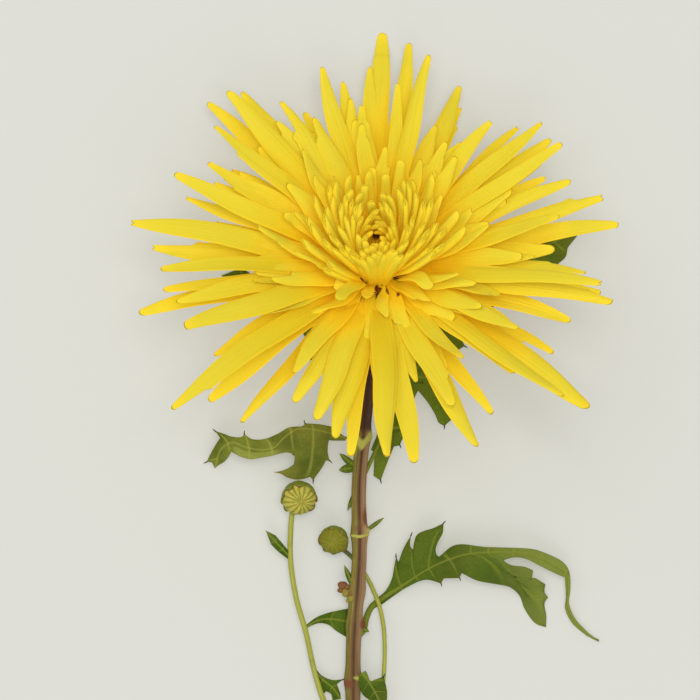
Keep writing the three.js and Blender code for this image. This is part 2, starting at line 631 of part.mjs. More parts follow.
// Closed bud: a globe whose upper part is ridged by folded florets and whose underside is a cup of
// bracts with round tips, standing a little proud.
function makeBud({ centre, radius, apex, florets }, clearance) {
  const upright = new THREE.Quaternion().setFromUnitVectors(vec(0, 0, 1), vec(...apex).normalize());
  const sides = florets * 2;
  const rings = [-84, -60, -36, -14, 4, 14, 34, 56, 80].map((degrees) =>
    range(sides).map((j) => {
      const bearing = (j / sides) * 2 * Math.PI;
      const latitude = degrees * degree;
      const arch = Math.abs(Math.cos((cupBracts * bearing) / 2));
      const cup = degrees < -2 + 14 * arch ? 0.06 : 0;
      const ridge = (j % 2 ? 0.035 : -0.035) * smooth(0, 30, degrees);
      const size = radius * (1 + ridge + cup) + clearance;
      return vec(
        size * Math.cos(latitude) * Math.cos(bearing),
        size * Math.cos(latitude) * Math.sin(bearing),
        size * Math.sin(latitude) * budFlattening,
      )
        .applyQuaternion(upright)
        .add(vec(...centre));
    }),
  );
  return loft(rings);
}

const shoots = {
  shoot_left: {
    bud: "bud_left",
    path: [[-6.8, -131, 3.2], [-11, -127, 3.2], [-14.6, -120.6, 3.4], [-17.4, -112, 3.4],
      [-19.8, -101, 3.6], [-22.6, -91, 3.8], [-24.2, -80, 4], [-24.1, -72, 3.8], [-23.6, -66, 3]],
    radius: 0.75,
    leaves: [
      { midrib: [[-24.2, -79.8, 4], [-27.3, -76.6, 4.8], [-31.1, -72.3, 5.2]],
        sides: [[[-24.2, -78.6], [-26, -76.4], [-28.4, -73.6]],
          [[-24.8, -80.4], [-27.6, -78.2], [-29.6, -76.2]]],
        falls: [0, 0], foot: 1 },
      { midrib: [[-20, -99.6, 3.6], [-17.6, -98, 2.8], [-15, -97.2, 1.8], [-11.5, -97.3, 1],
        [-8.2, -98, 0.7]],
        sides: [[[-20, -98.8], [-16.5, -96.5], [-14, -95.2], [-11, -94.3], [-8.4, -94.4]],
          [[-20, -100.6], [-15.5, -98.8], [-12, -99.7], [-9.2, -101.2]]],
        falls: [0, 0.05], foot: 2 },
      { midrib: [[-17.4, -111.6, 3.4], [-14.8, -114.4, 2.8], [-12.4, -116.4, 2], [-10, -119.6, 1.2]],
        sides: [[[-16.6, -110.6], [-12.4, -113.7], [-9.3, -114], [-9.4, -117]],
          [[-17.8, -113], [-16, -116.6], [-13.6, -116.4], [-12.4, -119.4]]],
        falls: [0.1, 0.1], foot: 1 },
    ],
  },
  shoot_right: {
    bud: "bud_right",
    path: [[-6.4, -129, 3.2], [-2.4, -125, 3.2], [1, -118.6, 3.4], [2.2, -109, 3.6], [2, -100, 3.6],
      [0.9, -94, 3.8], [-0.8, -89.4, 2], [-3.4, -84.4, 0.8], [-7, -79.8, 0.9], [-10.2, -77, 1.8]],
    radius: 0.6,
    leaves: [],
  },
};

function makeShoot({ bud, path, radius, leaves: blades }) {
  const thickness = (t) => radius * mix(1.3, 1, smooth(0, 0.3, t));
  const stem = stalk(path.map((point) => vec(...point)), thickness, 7, 20);
  const room = solidOf(makeBud(buds[bud], gap));
  return clearOfStem(fuse([stem, ...blades.map(leaf)]).subtract(room));
}

// Side bud that was rubbed out early, brown on its short swollen foot.
function makeStub() {
  const path = [vec(-6.4, -90.6, 4.8), vec(-8.4, -89.6, 5), vec(-10.8, -87.8, 5.4)];
  const girth = [[0, 1.1], [0.45, 0.9], [0.7, 1.6], [0.9, 1.3], [1, 0.6]];
  return clearOfStem(solidOf(stalk(path, (t) => along(girth, t), 7, 6)));
}

// ---- the whole flower --------------------------------------------------------------------------

const flower = new THREE.Group();
function add(name, geometry, colour, roughness) {
  const material = new THREE.MeshStandardMaterial({ color: colour, roughness, metalness: 0 });
  const mesh = new THREE.Mesh(geometry, material);
  mesh.name = name;
  flower.add(mesh);
}

add("bloom", makeBloom(), colours.ray, 0.55);
add("disc_florets", makeDisc(), colours.disc, 0.7);
add("calyx", makeCalyx(), colours.calyx, 0.6);
add("stem", stemBody(0), colours.stem, 0.65);
for (const [name, shape] of Object.entries(leaves)) {
  add(name, clearOfStem(solidOf(leaf(shape))), colours.leaf, 0.6);
}
for (const [name, blades] of Object.entries(bracts)) {
  add(name, clearOfStem(fuse(blades.map(bract))), colours.leaf, 0.6);
}
add("side_bud_stub", makeStub(), colours.stem, 0.7);
for (const [name, shape] of Object.entries(shoots)) {
  add(name, makeShoot(shape), colours.shoot, 0.6);
}
for (const [name, shape] of Object.entries(buds)) {
  add(name, clearOfStem(solidOf(makeBud(shape, 0))), colours.bud, 0.6);
}

const box = new THREE.Box3().setFromObject(flower);
const middle = box.getCenter(vec(0, 0, 0));
flower.position.set(-middle.x, -middle.y, -box.min.z);

export default flower;
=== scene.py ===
# Spider chrysanthemum: the finished look of one cut stem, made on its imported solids.
# Shapes are worked out in millimetres about the middle of the bloom, +Y away from the stem, and toRow()
# takes them to metres in the frame's own place.
import bpy
import numpy as np
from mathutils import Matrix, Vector


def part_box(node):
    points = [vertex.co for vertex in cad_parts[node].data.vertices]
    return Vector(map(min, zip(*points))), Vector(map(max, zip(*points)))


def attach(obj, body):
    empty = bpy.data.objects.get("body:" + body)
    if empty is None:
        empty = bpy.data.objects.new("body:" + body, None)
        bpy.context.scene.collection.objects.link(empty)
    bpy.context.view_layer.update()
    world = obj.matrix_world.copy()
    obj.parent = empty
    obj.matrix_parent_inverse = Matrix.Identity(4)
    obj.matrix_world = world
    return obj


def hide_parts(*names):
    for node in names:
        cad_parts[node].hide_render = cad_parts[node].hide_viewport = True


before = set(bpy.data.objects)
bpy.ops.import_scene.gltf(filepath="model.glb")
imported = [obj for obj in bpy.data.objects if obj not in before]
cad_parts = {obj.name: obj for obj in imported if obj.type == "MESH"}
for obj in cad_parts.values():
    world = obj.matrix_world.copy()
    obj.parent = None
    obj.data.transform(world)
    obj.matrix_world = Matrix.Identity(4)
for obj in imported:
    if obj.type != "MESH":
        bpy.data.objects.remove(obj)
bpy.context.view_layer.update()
millimetre = 0.001
degree = np.pi / 180
golden = 137.508  # degrees from one floret to the next on a spiral


# Small tools

def mix(a, b, t):
    return a + (b - a) * t


def smooth(low, high, x):  # 0 at low, 1 at high, with level ends
    t = np.clip((x - low) / (high - low), 0, 1)
    return t * t * (3 - 2 * t)


def bell(x, width):  # 1 in the middle, falling off within width
    return np.exp(-((x / width) ** 2))


def draw(n):  # a repeatable number between 0 and 1 for each whole number
    x = np.sin(np.asarray(n, float) * 12.9898 + 4.1414) * 43758.5453
    return x - np.floor(x)


def stops(pairs, t):  # value at t, straight between [t, value] pairs
    places, values = np.array(pairs, float).T
    return np.interp(t, places, values)


def columnsAt(t, places, table):  # each column of a table of values that are known at places, read off at t
    return np.stack([np.interp(t, places, column) for column in table.T], -1)


def unit(v):
    return v / np.maximum(np.linalg.norm(v, axis=-1, keepdims=True), 1e-9)


def together(*values):  # arrays of any shapes that fit, as one array with a column for each
    return np.stack(np.broadcast_arrays(*values), -1)


# The bloom's own frame: its right, its top and its axis, which leans away from the stem

head = dict(height=22, tilt=27 * degree)
headCos, headSin = np.cos(head["tilt"]), np.sin(head["tilt"])
headMiddle = np.array([0, 0, head["height"]])


def headDirection(right, top, axis):
    return together(right, top * headCos + axis * headSin, axis * headCos - top * headSin)


def headPoint(bearing, radius, height):
    return headDirection(radius * np.cos(bearing), radius * np.sin(bearing), height) + headMiddle


# The disc's solid shows where the bloom is. Its lowest ring has ten corners and is level across X, so its
# foot, the lowest point along Y, is a corner 72 degrees round.

button = dict(base=10.3, radius=2.6, corner=72 * degree)
discLow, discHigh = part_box("disc_florets")
buttonFoot = button["base"] * headSin - button["radius"] * np.sin(button["corner"]) * headCos
bloomAt = np.array([(discLow.x + discHigh.x) / 2, discLow.y - buttonFoot * millimetre, 0])
lowest = 0.00002  # metres that each point stays above the surface


def toRow(points):
    moved = points * millimetre + bloomAt
    moved[..., 2] = np.maximum(moved[..., 2], lowest)
    return moved


# Meshes: a shape is points, faces, three facts for each point and the number of its skin
# On petals and leaves the second fact is the place across, 1 or -1 at a rim, less underside on lower faces.

underside = 2.5


def shape(points, faces, facts):
    points = points.reshape(-1, 3)
    faces = [f.reshape(-1, f.shape[-1]) for f in faces]
    volume = 0.0
    for f in faces:
        for k in range(1, f.shape[1] - 1):
            a, b, c = points[f[:, 0]], points[f[:, k]], points[f[:, k + 1]]
            volume += np.einsum("ij,ij->", a, np.cross(b, c))
    return dict(points=points, faces=faces, facts=facts.reshape(-1, 3), skin=0, inward=volume < 0)


def ringFaces(rings, around):  # quads between neighbouring rings
    r, c = np.meshgrid(np.arange(rings - 1), np.arange(around), indexing="ij")
    d = (c + 1) % around
    here, beyond = r * around, (r + 1) * around
    return np.stack([here + c, here + d, beyond + d, beyond + c], -1).reshape(-1, 4)


def tube(rings, facts):  # a closed body through rings of points, each end drawn to its middle
    count, around = rings.shape[:2]
    ends = np.stack([rings[0].mean(0), rings[-1].mean(0)])
    endFacts = np.stack([facts[0].mean(0), facts[-1].mean(0)])
    j = np.arange(around)
    k = (j + 1) % around
    last, pole = (count - 1) * around, np.full(around, count * around)
    first = np.stack([k, j, pole], -1)
    final = np.stack([last + j, last + k, pole + 1], -1)
    points = np.concatenate([rings.reshape(-1, 3), ends])
    allFacts = np.concatenate([facts.reshape(-1, 3), endFacts])
    return shape(points, [ringFaces(count, around), np.concatenate([first, final])], allFacts)


def addPiece(name, shapes, nodes, finishes):
    points = np.concatenate([s["points"] for s in shapes])
    facts = np.concatenate([s["facts"] for s in shapes])
    faces, skins, offset = [], [], 0
    for s in shapes:
        for f in s["faces"]:
            turned = f[:, ::-1] if s["inward"] else f
            faces += (turned + offset).tolist()
            skins += [s["skin"]] * len(f)
        offset += len(s["points"])
    mesh = bpy.data.meshes.new(name)
    mesh.from_pydata(toRow(points).tolist(), [], faces)
    mesh.polygons.foreach_set("use_smooth", np.ones(len(faces), bool))
    mesh.polygons.foreach_set("material_index", np.array(skins, np.int32))
    layer = mesh.attributes.new("facts", "FLOAT_VECTOR", "POINT")
    layer.data.foreach_set("vector", facts.astype(np.float32).ravel())
    if "depth" in shapes[0]:
        layer = mesh.attributes.new("depth", "FLOAT", "POINT")
        layer.data.foreach_set("value", np.concatenate([s["depth"] for s in shapes]).astype(np.float32))
    # rims of petals and leaves are sharp
    ends = np.zeros(2 * len(mesh.edges), np.int32)
    mesh.edges.foreach_get("vertices", ends)
    rims = np.isin(facts[:, 1], (-1.0, 1.0, 1.0 - underside))[ends].reshape(-1, 2).all(1)
    mesh.attributes.new("sharp_edge", "BOOLEAN", "EDGE").data.foreach_set("value", rims)
    for finish in finishes:
        mesh.materials.append(finish)
    piece = bpy.data.objects.new(name, mesh)
    bpy.context.scene.collection.objects.link(piece)
    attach(piece, "root")
    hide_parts(*nodes)


def curveThrough(points, count):  # centripetal Catmull-Rom through points, evenly spaced along its length
    p = np.asarray(points, float)
    p = np.concatenate([[2 * p[0] - p[1]], p, [2 * p[-1] - p[-2]]])
    samples = 40 * len(p)
    t = np.linspace(0, len(p) - 3, samples)
    i = np.minimum(t.astype(int), len(p) - 4)
    w = (t - i)[:, None]
    a, b, c, d = p[i], p[i + 1], p[i + 2], p[i + 3]
    ab, bc, cd = (np.linalg.norm(y - x, axis=1)[:, None] ** 0.5 for x, y in ((a, b), (b, c), (c, d)))
    m = bc * ((b - a) / ab - (c - a) / (ab + bc) + (c - b) / bc)
    n = bc * ((c - b) / bc - (d - b) / (bc + cd) + (d - c) / cd)
    fine = b + w * m + w**2 * (3 * (c - b) - 2 * m - n) + w**3 * (2 * (b - c) + m + n)
    length = np.concatenate([[0], np.cumsum(np.linalg.norm(np.diff(fine, axis=0), axis=1))])
    even = np.linspace(0, length[-1], count)
    return columnsAt(even, length, fine)


def sweep(path, radius, around):  # rings of a stalk on its path; radius is given for each ring and corner
    forward = unit(np.gradient(path, axis=0))
    side = unit(np.cross([0, 0, 1], forward))
    up = np.cross(forward, side)
    angle = 2 * np.pi * (np.arange(around) + 0.5) / around
    spread = np.cos(angle)[None, :, None] * side[:, None] + np.sin(angle)[None, :, None] * up[:, None]
    return path[:, None] + radius[..., None] * spread


# Materials: a socket that can be reckoned with, and one call for any node

def sign(operation, reflected=False):  # what one of Python's signs does with wires: it adds a Math node
    def apply(self, other):
        terms = (other, self) if reflected else (self, other)
        return self.finish.node("Math", dict(operation=operation), dict(enumerate(terms)))
    return apply


class Wire:
    def __init__(self, finish, socket):
        self.finish, self.socket = finish, socket

    __add__, __radd__ = sign("ADD"), sign("ADD", True)
    __sub__, __rsub__ = sign("SUBTRACT"), sign("SUBTRACT", True)
    __mul__, __rmul__ = sign("MULTIPLY"), sign("MULTIPLY", True)
    __truediv__, __rtruediv__ = sign("DIVIDE"), sign("DIVIDE", True)

    def __neg__(self):
        return self * -1

    def reckon(self, operation):  # a Math node with one input
        return self.finish.node("Math", dict(operation=operation), {0: self})

    def step(self, low, high):  # 0 at low, 1 at high, with level ends
        return self.finish.node("MapRange", dict(interpolation_type="SMOOTHSTEP"), {0: self, 1: low, 2: high})

    def bell(self, middle, width):  # 1 at middle, falling off within width
        off = (self - middle) / width
        return (-(off * off)).reckon("EXPONENT")


class Finish:
    def __init__(self, name):
        self.material = bpy.data.materials.new(name)
        self.material.use_nodes = True
        self.tree = self.material.node_tree
        self.tree.nodes.clear()

    def node(self, kind, settings=None, inputs=None, output=0):
        made = self.tree.nodes.new("ShaderNode" + kind)
        for key, value in (settings or {}).items():
            setattr(made, key, value)
        for key, value in (inputs or {}).items():
            if isinstance(value, Wire):
                self.tree.links.new(value.socket, made.inputs[key])
            else:
                made.inputs[key].default_value = value
        return Wire(self, made.outputs[output]) if made.outputs else None

    def facts(self):  # the three numbers that the mesh keeps for each point
        read = self.node("Attribute", dict(attribute_name="facts"), output="Vector")
        apart = self.node("SeparateXYZ", {}, {0: read})
        return [Wire(self, number) for number in apart.socket.node.outputs]

    def place(self, scale):  # Object coordinates; a pattern on them repeats about this many times in a metre
        at = self.node("TexCoord", output="Object")
        return self.node("Mapping", {}, {0: at, "Scale": (scale, scale, scale)})

    def vector(self, x, y, z):
        return self.node("CombineXYZ", {}, {0: x, 1: y, 2: z})

    def noise(self, at, detail):
        return self.node("TexNoise", {}, {"Vector": at, "Scale": 1.0, "Detail": detail})

    def mix(self, first, second, factor):
        return self.node("Mix", dict(data_type="RGBA"), {0: factor, 6: first, 7: second}, 2)

    def bump(self, height, distance, strength):
        return self.node("Bump", {}, {"Height": height, "Distance": distance, "Strength": strength})

    def shade(self, colour, roughness, normal=None, **uniform):
        inputs = {"Base Color": colour, "Roughness": roughness}
        inputs.update({name.replace("_", " "): value for name, value in uniform.items()})
        if normal:
            inputs["Normal"] = normal
        shader = self.node("BsdfPrincipled", {}, inputs)
        self.node("OutputMaterial", {}, {"Surface": shader})
        return self.material


def srgb(r, g, b):  # a screen colour, 0 to 255, as linear light
    c = np.array([r, g, b]) / 255
    linear = np.where(c <= 0.04045, c / 12.92, ((c + 0.055) / 1.055) ** 2.4)
    return (*linear.tolist(), 1.0)


# Camera: straight above the flower, as far off as keeps its petals' sizes true
# focusHeight is the level at which the view is across metres wide, and aim is in millimetres.

lens = dict(height=3.2, focusHeight=0.03, across=0.1946, aim=(-7.5, -21.7), film=36)
camera = bpy.data.objects.new("camera", bpy.data.cameras.new("camera"))
bpy.context.scene.collection.objects.link(camera)
aimX, aimY = bloomAt[:2] + np.array(lens["aim"]) * millimetre
camera.location = (aimX, aimY, lens["height"])
camera.data.sensor_width = lens["film"]
camera.data.lens = lens["film"] * (lens["height"] - lens["focusHeight"]) / lens["across"]
camera.data.clip_start, camera.data.clip_end = 0.1, 10
bpy.context.scene.camera = camera
print("camera placed")


# Ray florets
# facts: place along the floret; place across it; a number of its own

petals = dict(
    # lit, deep and root paint light and shade along each floret, from lit yellow outwards to shaded orange at
    # its foot; the last colour here is the dark brown of painted shade in the deepest places, and shade below
    # is the orange of painted shade and glow
    lit=srgb(225, 206, 52), deep=srgb(221, 194, 36), root=srgb(217, 175, 25), cleftShade=srgb(92, 40, 8),
    pale=srgb(236, 230, 130), shade=srgb(224, 174, 16), roughness=0.5, glow=0.15,
    thickness=0.62, groove=0.1, wobble=0.5, clear=0.45, strapFoot=0.3, taperFrom=0.45, taper=2.6,
    quillFoot=0.75, quillTip=0.85, quillDepth=0.72,
    # a tooth: half the length over which it steps in, its rows, and how far before it the edge swells
    toothHalf=0.013, toothRows=[-0.012, 0.0, 0.012], swellBefore=0.014, swellWidth=0.016,
    # places of dark brown painted shade seen from above: the cleft and the eye, each with its reach and the
    # depth that it adds, the eye's as a share of the cleft's; and creases that run outwards, each with its
    # start and end
    cleftAt=(0.3, -4.9), cleftReach=(4.6, 3.0), cleftDepth=40, eyeAt=(-0.4, 10.4), eyeReach=(2.6, 2.4),
    eyeDepth=0.64, creaseWidth=0.9,
    creases=[[0.3, -4.9, -4.5, -2.0], [0.3, -4.9, 6.5, -6.4], [0.3, -4.9, -5.0, -7.6], [5.0, -1.9, 8.8, -0.7],
             [0.3, -4.9, -0.3, -7.2]],
)


def floretBreadth(f, s, u, quill):
    # The share of its width that a floret has at s. It widens from its foot and is drawn in towards its tip.
    # On one side a strap swells a little before its tooth and steps in at it.
    if quill:
        breadth = mix(petals["quillFoot"], 1, smooth(0, 0.5, s))
        breadth = breadth * mix(1, petals["quillTip"], smooth(0.75, 1, s) ** 2)
    else:
        drawnIn = np.clip((s - petals["taperFrom"]) / (1 - petals["taperFrom"]), 0, 1) ** petals["taper"]
        breadth = mix(petals["strapFoot"], 1, smooth(-0.15, 0.4, s)) * mix(1, f["tip"], drawnIn)
    before, after = f["toothAt"] - petals["toothHalf"], f["toothAt"] + petals["toothHalf"]
    tooth = f["toothDepth"] * smooth(before, after, s)
    swell = 0.5 * f["toothDepth"] * bell(s - f["toothAt"] + petals["swellBefore"], petals["swellWidth"])
    return breadth * (1 + (swell - tooth) * (u * f["toothSide"] > 0) * np.abs(u))


def floretLine(f, s, t, quill):
    # The middle line is a circular arc in the floret's own plane, pushed sideways by the square of the way
    # along and by a slow wave. Where it would come down to the surface it levels off, just clear of it.
    start, swing = f["rise"] + f["bend"], -2 * f["bend"]
    radius = f["chord"] * f["bend"] / np.sin(f["bend"]) / swing
    climb = start + swing * t
    out = f["rootRadius"] + radius * (np.sin(climb) - np.sin(start))
    high = f["rootHeight"] + radius * (np.cos(start) - np.cos(climb))
    across = headDirection(-np.sin(f["bearing"]), np.cos(f["bearing"]), 0.0)
    outward = headDirection(np.cos(f["bearing"]), np.sin(f["bearing"]), 0.0)
    axis = headDirection(0.0, 0.0, 1.0)
    wander = petals["wobble"] * np.sin(2 * np.pi * (1.2 * s + f["phase"])) * smooth(0.1, 0.6, s) * (not quill)
    line = headPoint(f["bearing"], out, high) + across * (f["sway"] * t**2 + wander)[..., None]
    clear = petals["clear"]
    level = clear + 2 / (1 + np.exp(np.minimum(1.4 * (clear + 1 - line[..., 2]), 60)))
    line[..., 2] = np.where(line[..., 2] < clear + 2, level, line[..., 2])
    forward = outward * np.cos(climb)[..., None] + axis * np.sin(climb)[..., None]
    roll = (f["roll"] * t)[..., None]
    side = across * np.cos(roll) + np.cross(forward, across) * np.sin(roll)
    return line, side, np.cross(forward, side)


def floretLift(f, s, u, face, breadth, cap, quill):
    # How far the upper and the lower face stand off the middle line. A quill is round, closed at its end and
    # furrowed above. A strap is thin and bent to a channel, with two grooves above and a curled tip.
    if quill:
        closing = np.sqrt(np.maximum(1 - smooth(1 - 1.6 * cap, 1.0, s) ** 2, 0.02))
        thick = f["width"] * petals["quillDepth"] * mix(0.7, 1, smooth(0, 0.7, s)) * closing
        return thick / 2 * face - 0.16 * thick * bell(u, 0.35) * (face > 0)
    half = f["width"] / 2
    thick = petals["thickness"] * mix(1.25, 0.75, s) * mix(1, 0.35, smooth(0.93, 1, s))
    channel = mix(0.5, f["channel"], smooth(0, 0.5, s)) * half * breadth * (u**2 - 0.35)
    wave = 0.05 * half * u * np.sin(2 * np.pi * (2.1 * s + f["phase"])) * smooth(0.1, 0.6, s)
    grooves = petals["groove"] * (bell(u - 0.36, 0.13) + bell(u + 0.36, 0.13))
    curl = f["curl"] * smooth(0.7, 1, s) ** 2
    return thick / 2 * face + channel + wave - grooves * smooth(1, 0.85, s) * (face > 0) + curl


def ribbon(f, rows, lanes, quill=False):
    # Each floret is rings of points from its foot to its tip. A turn round the ring gives u, the place
    # across, and face, above or below. s goes from 0 to 1 and crowds towards the tip, and t is s drawn back
    # near the edges and at the notch, so that the far end is a round cap. Quads from lane to lane close both
    # ends, with a triangle at each edge.
    f = {k: np.asarray(v, float)[:, None, None] for k, v in f.items()}
    turn = np.pi * np.arange(2 * lanes) / lanes
    u, face = np.cos(turn)[None, None], np.sin(turn)[None, None]
    even = 1 - (1 - np.linspace(0, 1, rows)[None, :, None]) ** 1.5
    even = np.broadcast_to(even, (len(f["bearing"]), rows, 1))
    s = np.sort(np.concatenate([even, f["toothAt"] + np.array(petals["toothRows"])[None, :, None]], 1), 1)
    half = f["width"] / 2
    breadth = floretBreadth(f, s, u, quill)
    cap = f["cap"] * half * mix(f["tip"], 1, float(quill)) / f["chord"]
    end = 1 - cap * (1 - np.sqrt(np.maximum(1 - u**2, 0))) - f["notch"] * bell(u, 0.3)
    t = s * mix(1, end, smooth(0.35, 1, s))
    line, side, up = floretLine(f, s, t, quill)
    lift = floretLift(f, s, u, face, breadth, cap, quill)
    points = line + side * (half * breadth * u)[..., None] + up * lift[..., None]
    points[..., 2] += np.maximum(0.05 - points[..., 2].min(2, keepdims=True), 0)
    facts = together(s, 0.98 * u if quill else u - underside * (face < -0.01), f["own"])
    count, rings, around = points.shape[:3]
    k = np.arange(1, lanes - 1)
    sheet = np.stack([k, k + 1, around - k - 1, around - k], -1)
    corners = np.array([[0, 1, around - 1], [lanes, lanes + 1, lanes - 1]])
    last = (rings - 1) * around
    quads = np.concatenate([ringFaces(rings, around), sheet, (sheet + last)[:, ::-1]])
    corners = np.concatenate([corners, (corners + last)[:, ::-1]])
    first = (np.arange(count) * rings * around)[:, None, None]
    return shape(points, [quads + first, corners + first], facts)


def ownWays(i, base):  # what differs from floret to floret: tip, notch, tooth, channel and curl
    return dict(
        own=draw(i + base), phase=draw(i + base + 50), tip=mix(0.26, 0.48, draw(i + base + 100)),
        cap=mix(1.0, 2.2, draw(i + base + 150)), notch=0.018 * (draw(i + base + 200) > 0.85),
        toothAt=mix(0.74, 0.92, draw(i + base + 250)),
        toothSide=np.where(draw(i + base + 300) > 0.5, 1.0, -1.0),
        toothDepth=mix(0.2, 0.45, draw(i + base + 350)) * (draw(i + base + 400) > 0.7),
        channel=mix(-0.3, 0.2, draw(i + base + 450)), curl=mix(-1.2, 0.8, draw(i + base + 500)),
    )


def fromFoot(bearing):  # degrees round from the way towards the stem, which is at 270
    return (bearing - 270 + 540) % 360 - 180


def aimAt(bearing, reach, lift, rootRadius, rootHeight):
    # The way round and the chord of a floret whose tip is seen there from above when its chord rises by lift:
    # the crossing of the line of sight with the cone that such florets make.
    slope = np.tan(lift)
    x = reach * np.cos(bearing)
    y = reach * np.sin(bearing) - (rootHeight - rootRadius * slope) * headSin
    a = headCos**2 - (slope * headSin) ** 2
    b = 2 * y * slope * headSin
    c = -(y**2) - (x * headCos) ** 2
    radius = (-b + np.sqrt(b * b - 4 * a * c)) / (2 * a)
    return dict(bearing=np.arctan2((y - radius * slope * headSin) / headCos, x),
                chord=(radius - rootRadius) / np.cos(lift))


# Long florets. Angles are in degrees.

rays = dict(
    # bearing and reach of each tip as seen from above, and width
    tips=[
        [89, 67.5, 6], [83, 53, 3.6], [82, 65, 5], [76.5, 62.5, 4.6], [66, 57.5, 5.4], [59.5, 39, 3.2],
        [56, 43, 4], [52.5, 53, 4.8], [46, 57, 3.8], [42.5, 62, 5], [37, 61, 5.4], [34.5, 62.5, 4.2],
        [29, 54, 5], [25.5, 59.5, 4.2], [18, 66.5, 5], [16, 53, 4.8], [11, 68.5, 5.4], [6, 44, 4.8],
        [0, 58, 4.4], [357, 62, 4.6], [355, 62.5, 4.4], [352.5, 65.5, 4.8], [345.5, 55.5, 5.6], [338, 42, 5],
        [328, 69.5, 7.2], [325.5, 62, 4.6], [323.5, 47.5, 5.4], [313, 34, 4.4], [300, 55.5, 6],
        [299, 43, 5.8], [281, 54, 6], [273, 51.5, 6.4], [256, 47.5, 6], [247.5, 44, 6],
        [238, 42.5, 5.2], [229.5, 36, 5.4], [217.5, 59, 5.8], [213.5, 68, 5.8], [206.5, 50.5, 6],
        [196.5, 55.5, 5.8], [189.7, 67, 5.2], [188, 56, 5], [185, 59.2, 4.6], [179, 59.7, 4.6],
        [173.5, 63, 6], [168.3, 69.8, 6], [159, 57, 5], [154.5, 62.3, 5], [151, 51.7, 4.6],
        [147.3, 56, 4.6], [144, 47.4, 4.2], [138.8, 60.7, 5], [135.4, 66.9, 5], [130.2, 65.2, 5.8],
        [127, 62.9, 6], [119.6, 55, 5.2], [113.8, 43, 4.6], [105, 59.5, 5], [100.5, 54.2, 4.8],
        [95, 47, 4.6], [92, 57.5, 4.8],
    ],
    # lifts are taken in turn, and halved on the stem's side: wholly up to 20 degrees from it, not at all past
    # 80; florets at bearings from sweptFrom to sweptTo sway further
    lifts=[9, 19, 14, 24], liftScatter=4, halved=[20, 80], fullness=1.1, footRadius=7.4, footHeight=1.9,
    footRise=0.05, bend=[5, 12], roll=[-22, 22], sway=[-1.5, 1.5], sweep=3.5, sweptFrom=[112, 124],
    sweptTo=[145, 136],
)
skirt = dict(bearings=[38, 66, 112, 141, 163, 231, 262, 306, 333], footRadius=7.6, footHeight=1.6,
             chord=[44, 52], rise=-4, bend=10, width=4.8)


def longFlorets():
    bearing, reach, width = np.array(rays["tips"], float).T
    i = np.arange(len(bearing))
    taken = np.array(rays["lifts"])[i % len(rays["lifts"])] + rays["liftScatter"] * (draw(i) - 0.5)
    lift = mix(0.5, 1, smooth(*rays["halved"], np.abs(fromFoot(bearing)))) * taken * degree
    rootHeight = rays["footHeight"] + rays["footRise"] * taken
    swept = rays["sweep"] * smooth(*rays["sweptFrom"], bearing) * smooth(*rays["sweptTo"], bearing)
    sway = swept + mix(*rays["sway"], draw(i + 300))
    return dict(
        **aimAt(bearing * degree - sway / reach, reach, lift, rays["footRadius"], rootHeight),
        rootRadius=np.full(len(i), rays["footRadius"]), rootHeight=rootHeight, rise=lift,
        bend=mix(*rays["bend"], draw(i + 100)) * degree, width=rays["fullness"] * width,
        roll=mix(*rays["roll"], draw(i + 200)) * degree, sway=sway, **ownWays(i, 1000),
    )


def skirtFlorets():  # lowest ones, under the long florets
    bearing = np.array(skirt["bearings"], float)
    i = np.arange(len(bearing))
    same = np.ones(len(bearing))
    return dict(
        bearing=bearing * degree, rootRadius=skirt["footRadius"] * same,
        rootHeight=skirt["footHeight"] * same, chord=mix(*skirt["chord"], draw(i + 400)),
        rise=skirt["rise"] * degree * same,
        bend=skirt["bend"] * degree * same, width=skirt["width"] * same, roll=0 * same, sway=0 * same,
        **ownWays(i, 2000),
    )


# Inner florets, on a golden-angle spiral. Each list of pairs gives a value at a share of the way inwards.

spiral = dict(
    count=124, quillsFrom=0.5, blunt=1.12, core=[[0.6, 8.8], [1.8, 8.8], [4.4, 7.8], [7.6, 6], [10, 3.8]],
    tipRadii=[[0, 48], [0.24, 35], [0.43, 26], [0.57, 19], [0.71, 12], [0.82, 7], [0.9, 3.6], [1, 1]],
    tipHeights=[[0, 15], [0.24, 18], [0.43, 21.5], [0.57, 24], [0.71, 25.5], [0.82, 25.5], [0.9, 24],
                [1, 18.5]],
    bends=[[0, 9], [0.24, 4], [0.43, -3], [0.57, -8], [0.71, -11], [0.82, -15], [0.9, -22], [1, -40]],
    widths=[[0, 6.5], [0.24, 5.7], [0.43, 4.5], [0.5, 3], [0.57, 2.6], [0.71, 2.3], [1, 1.8]],
    rootRadii=[8.2, 3.6], sunk=0.8, filledTo=0.93, scatter=[10, 26], radiusScatter=[0.78, 1.22],
    heightScatter=[-1.8, 1.2], roll=[-30, 30], sway=[-1.6, 1.6],
    # on the stem's side, the florets outside split have fallen and those inside it stand upright
    nearFoot=[62, 30], split=[0.47, 0.49], uprightTo=[0.8, 0.66], uprightRoot=7.2, uprightReach=0.38,
    fallenReach=0.85, fallenHeight=0.35, fan=6, gathered=0.4, leanFrom=[0.25, 0.5], leanTo=[0.98, 0.8],
    lean=9, turn=18,
)


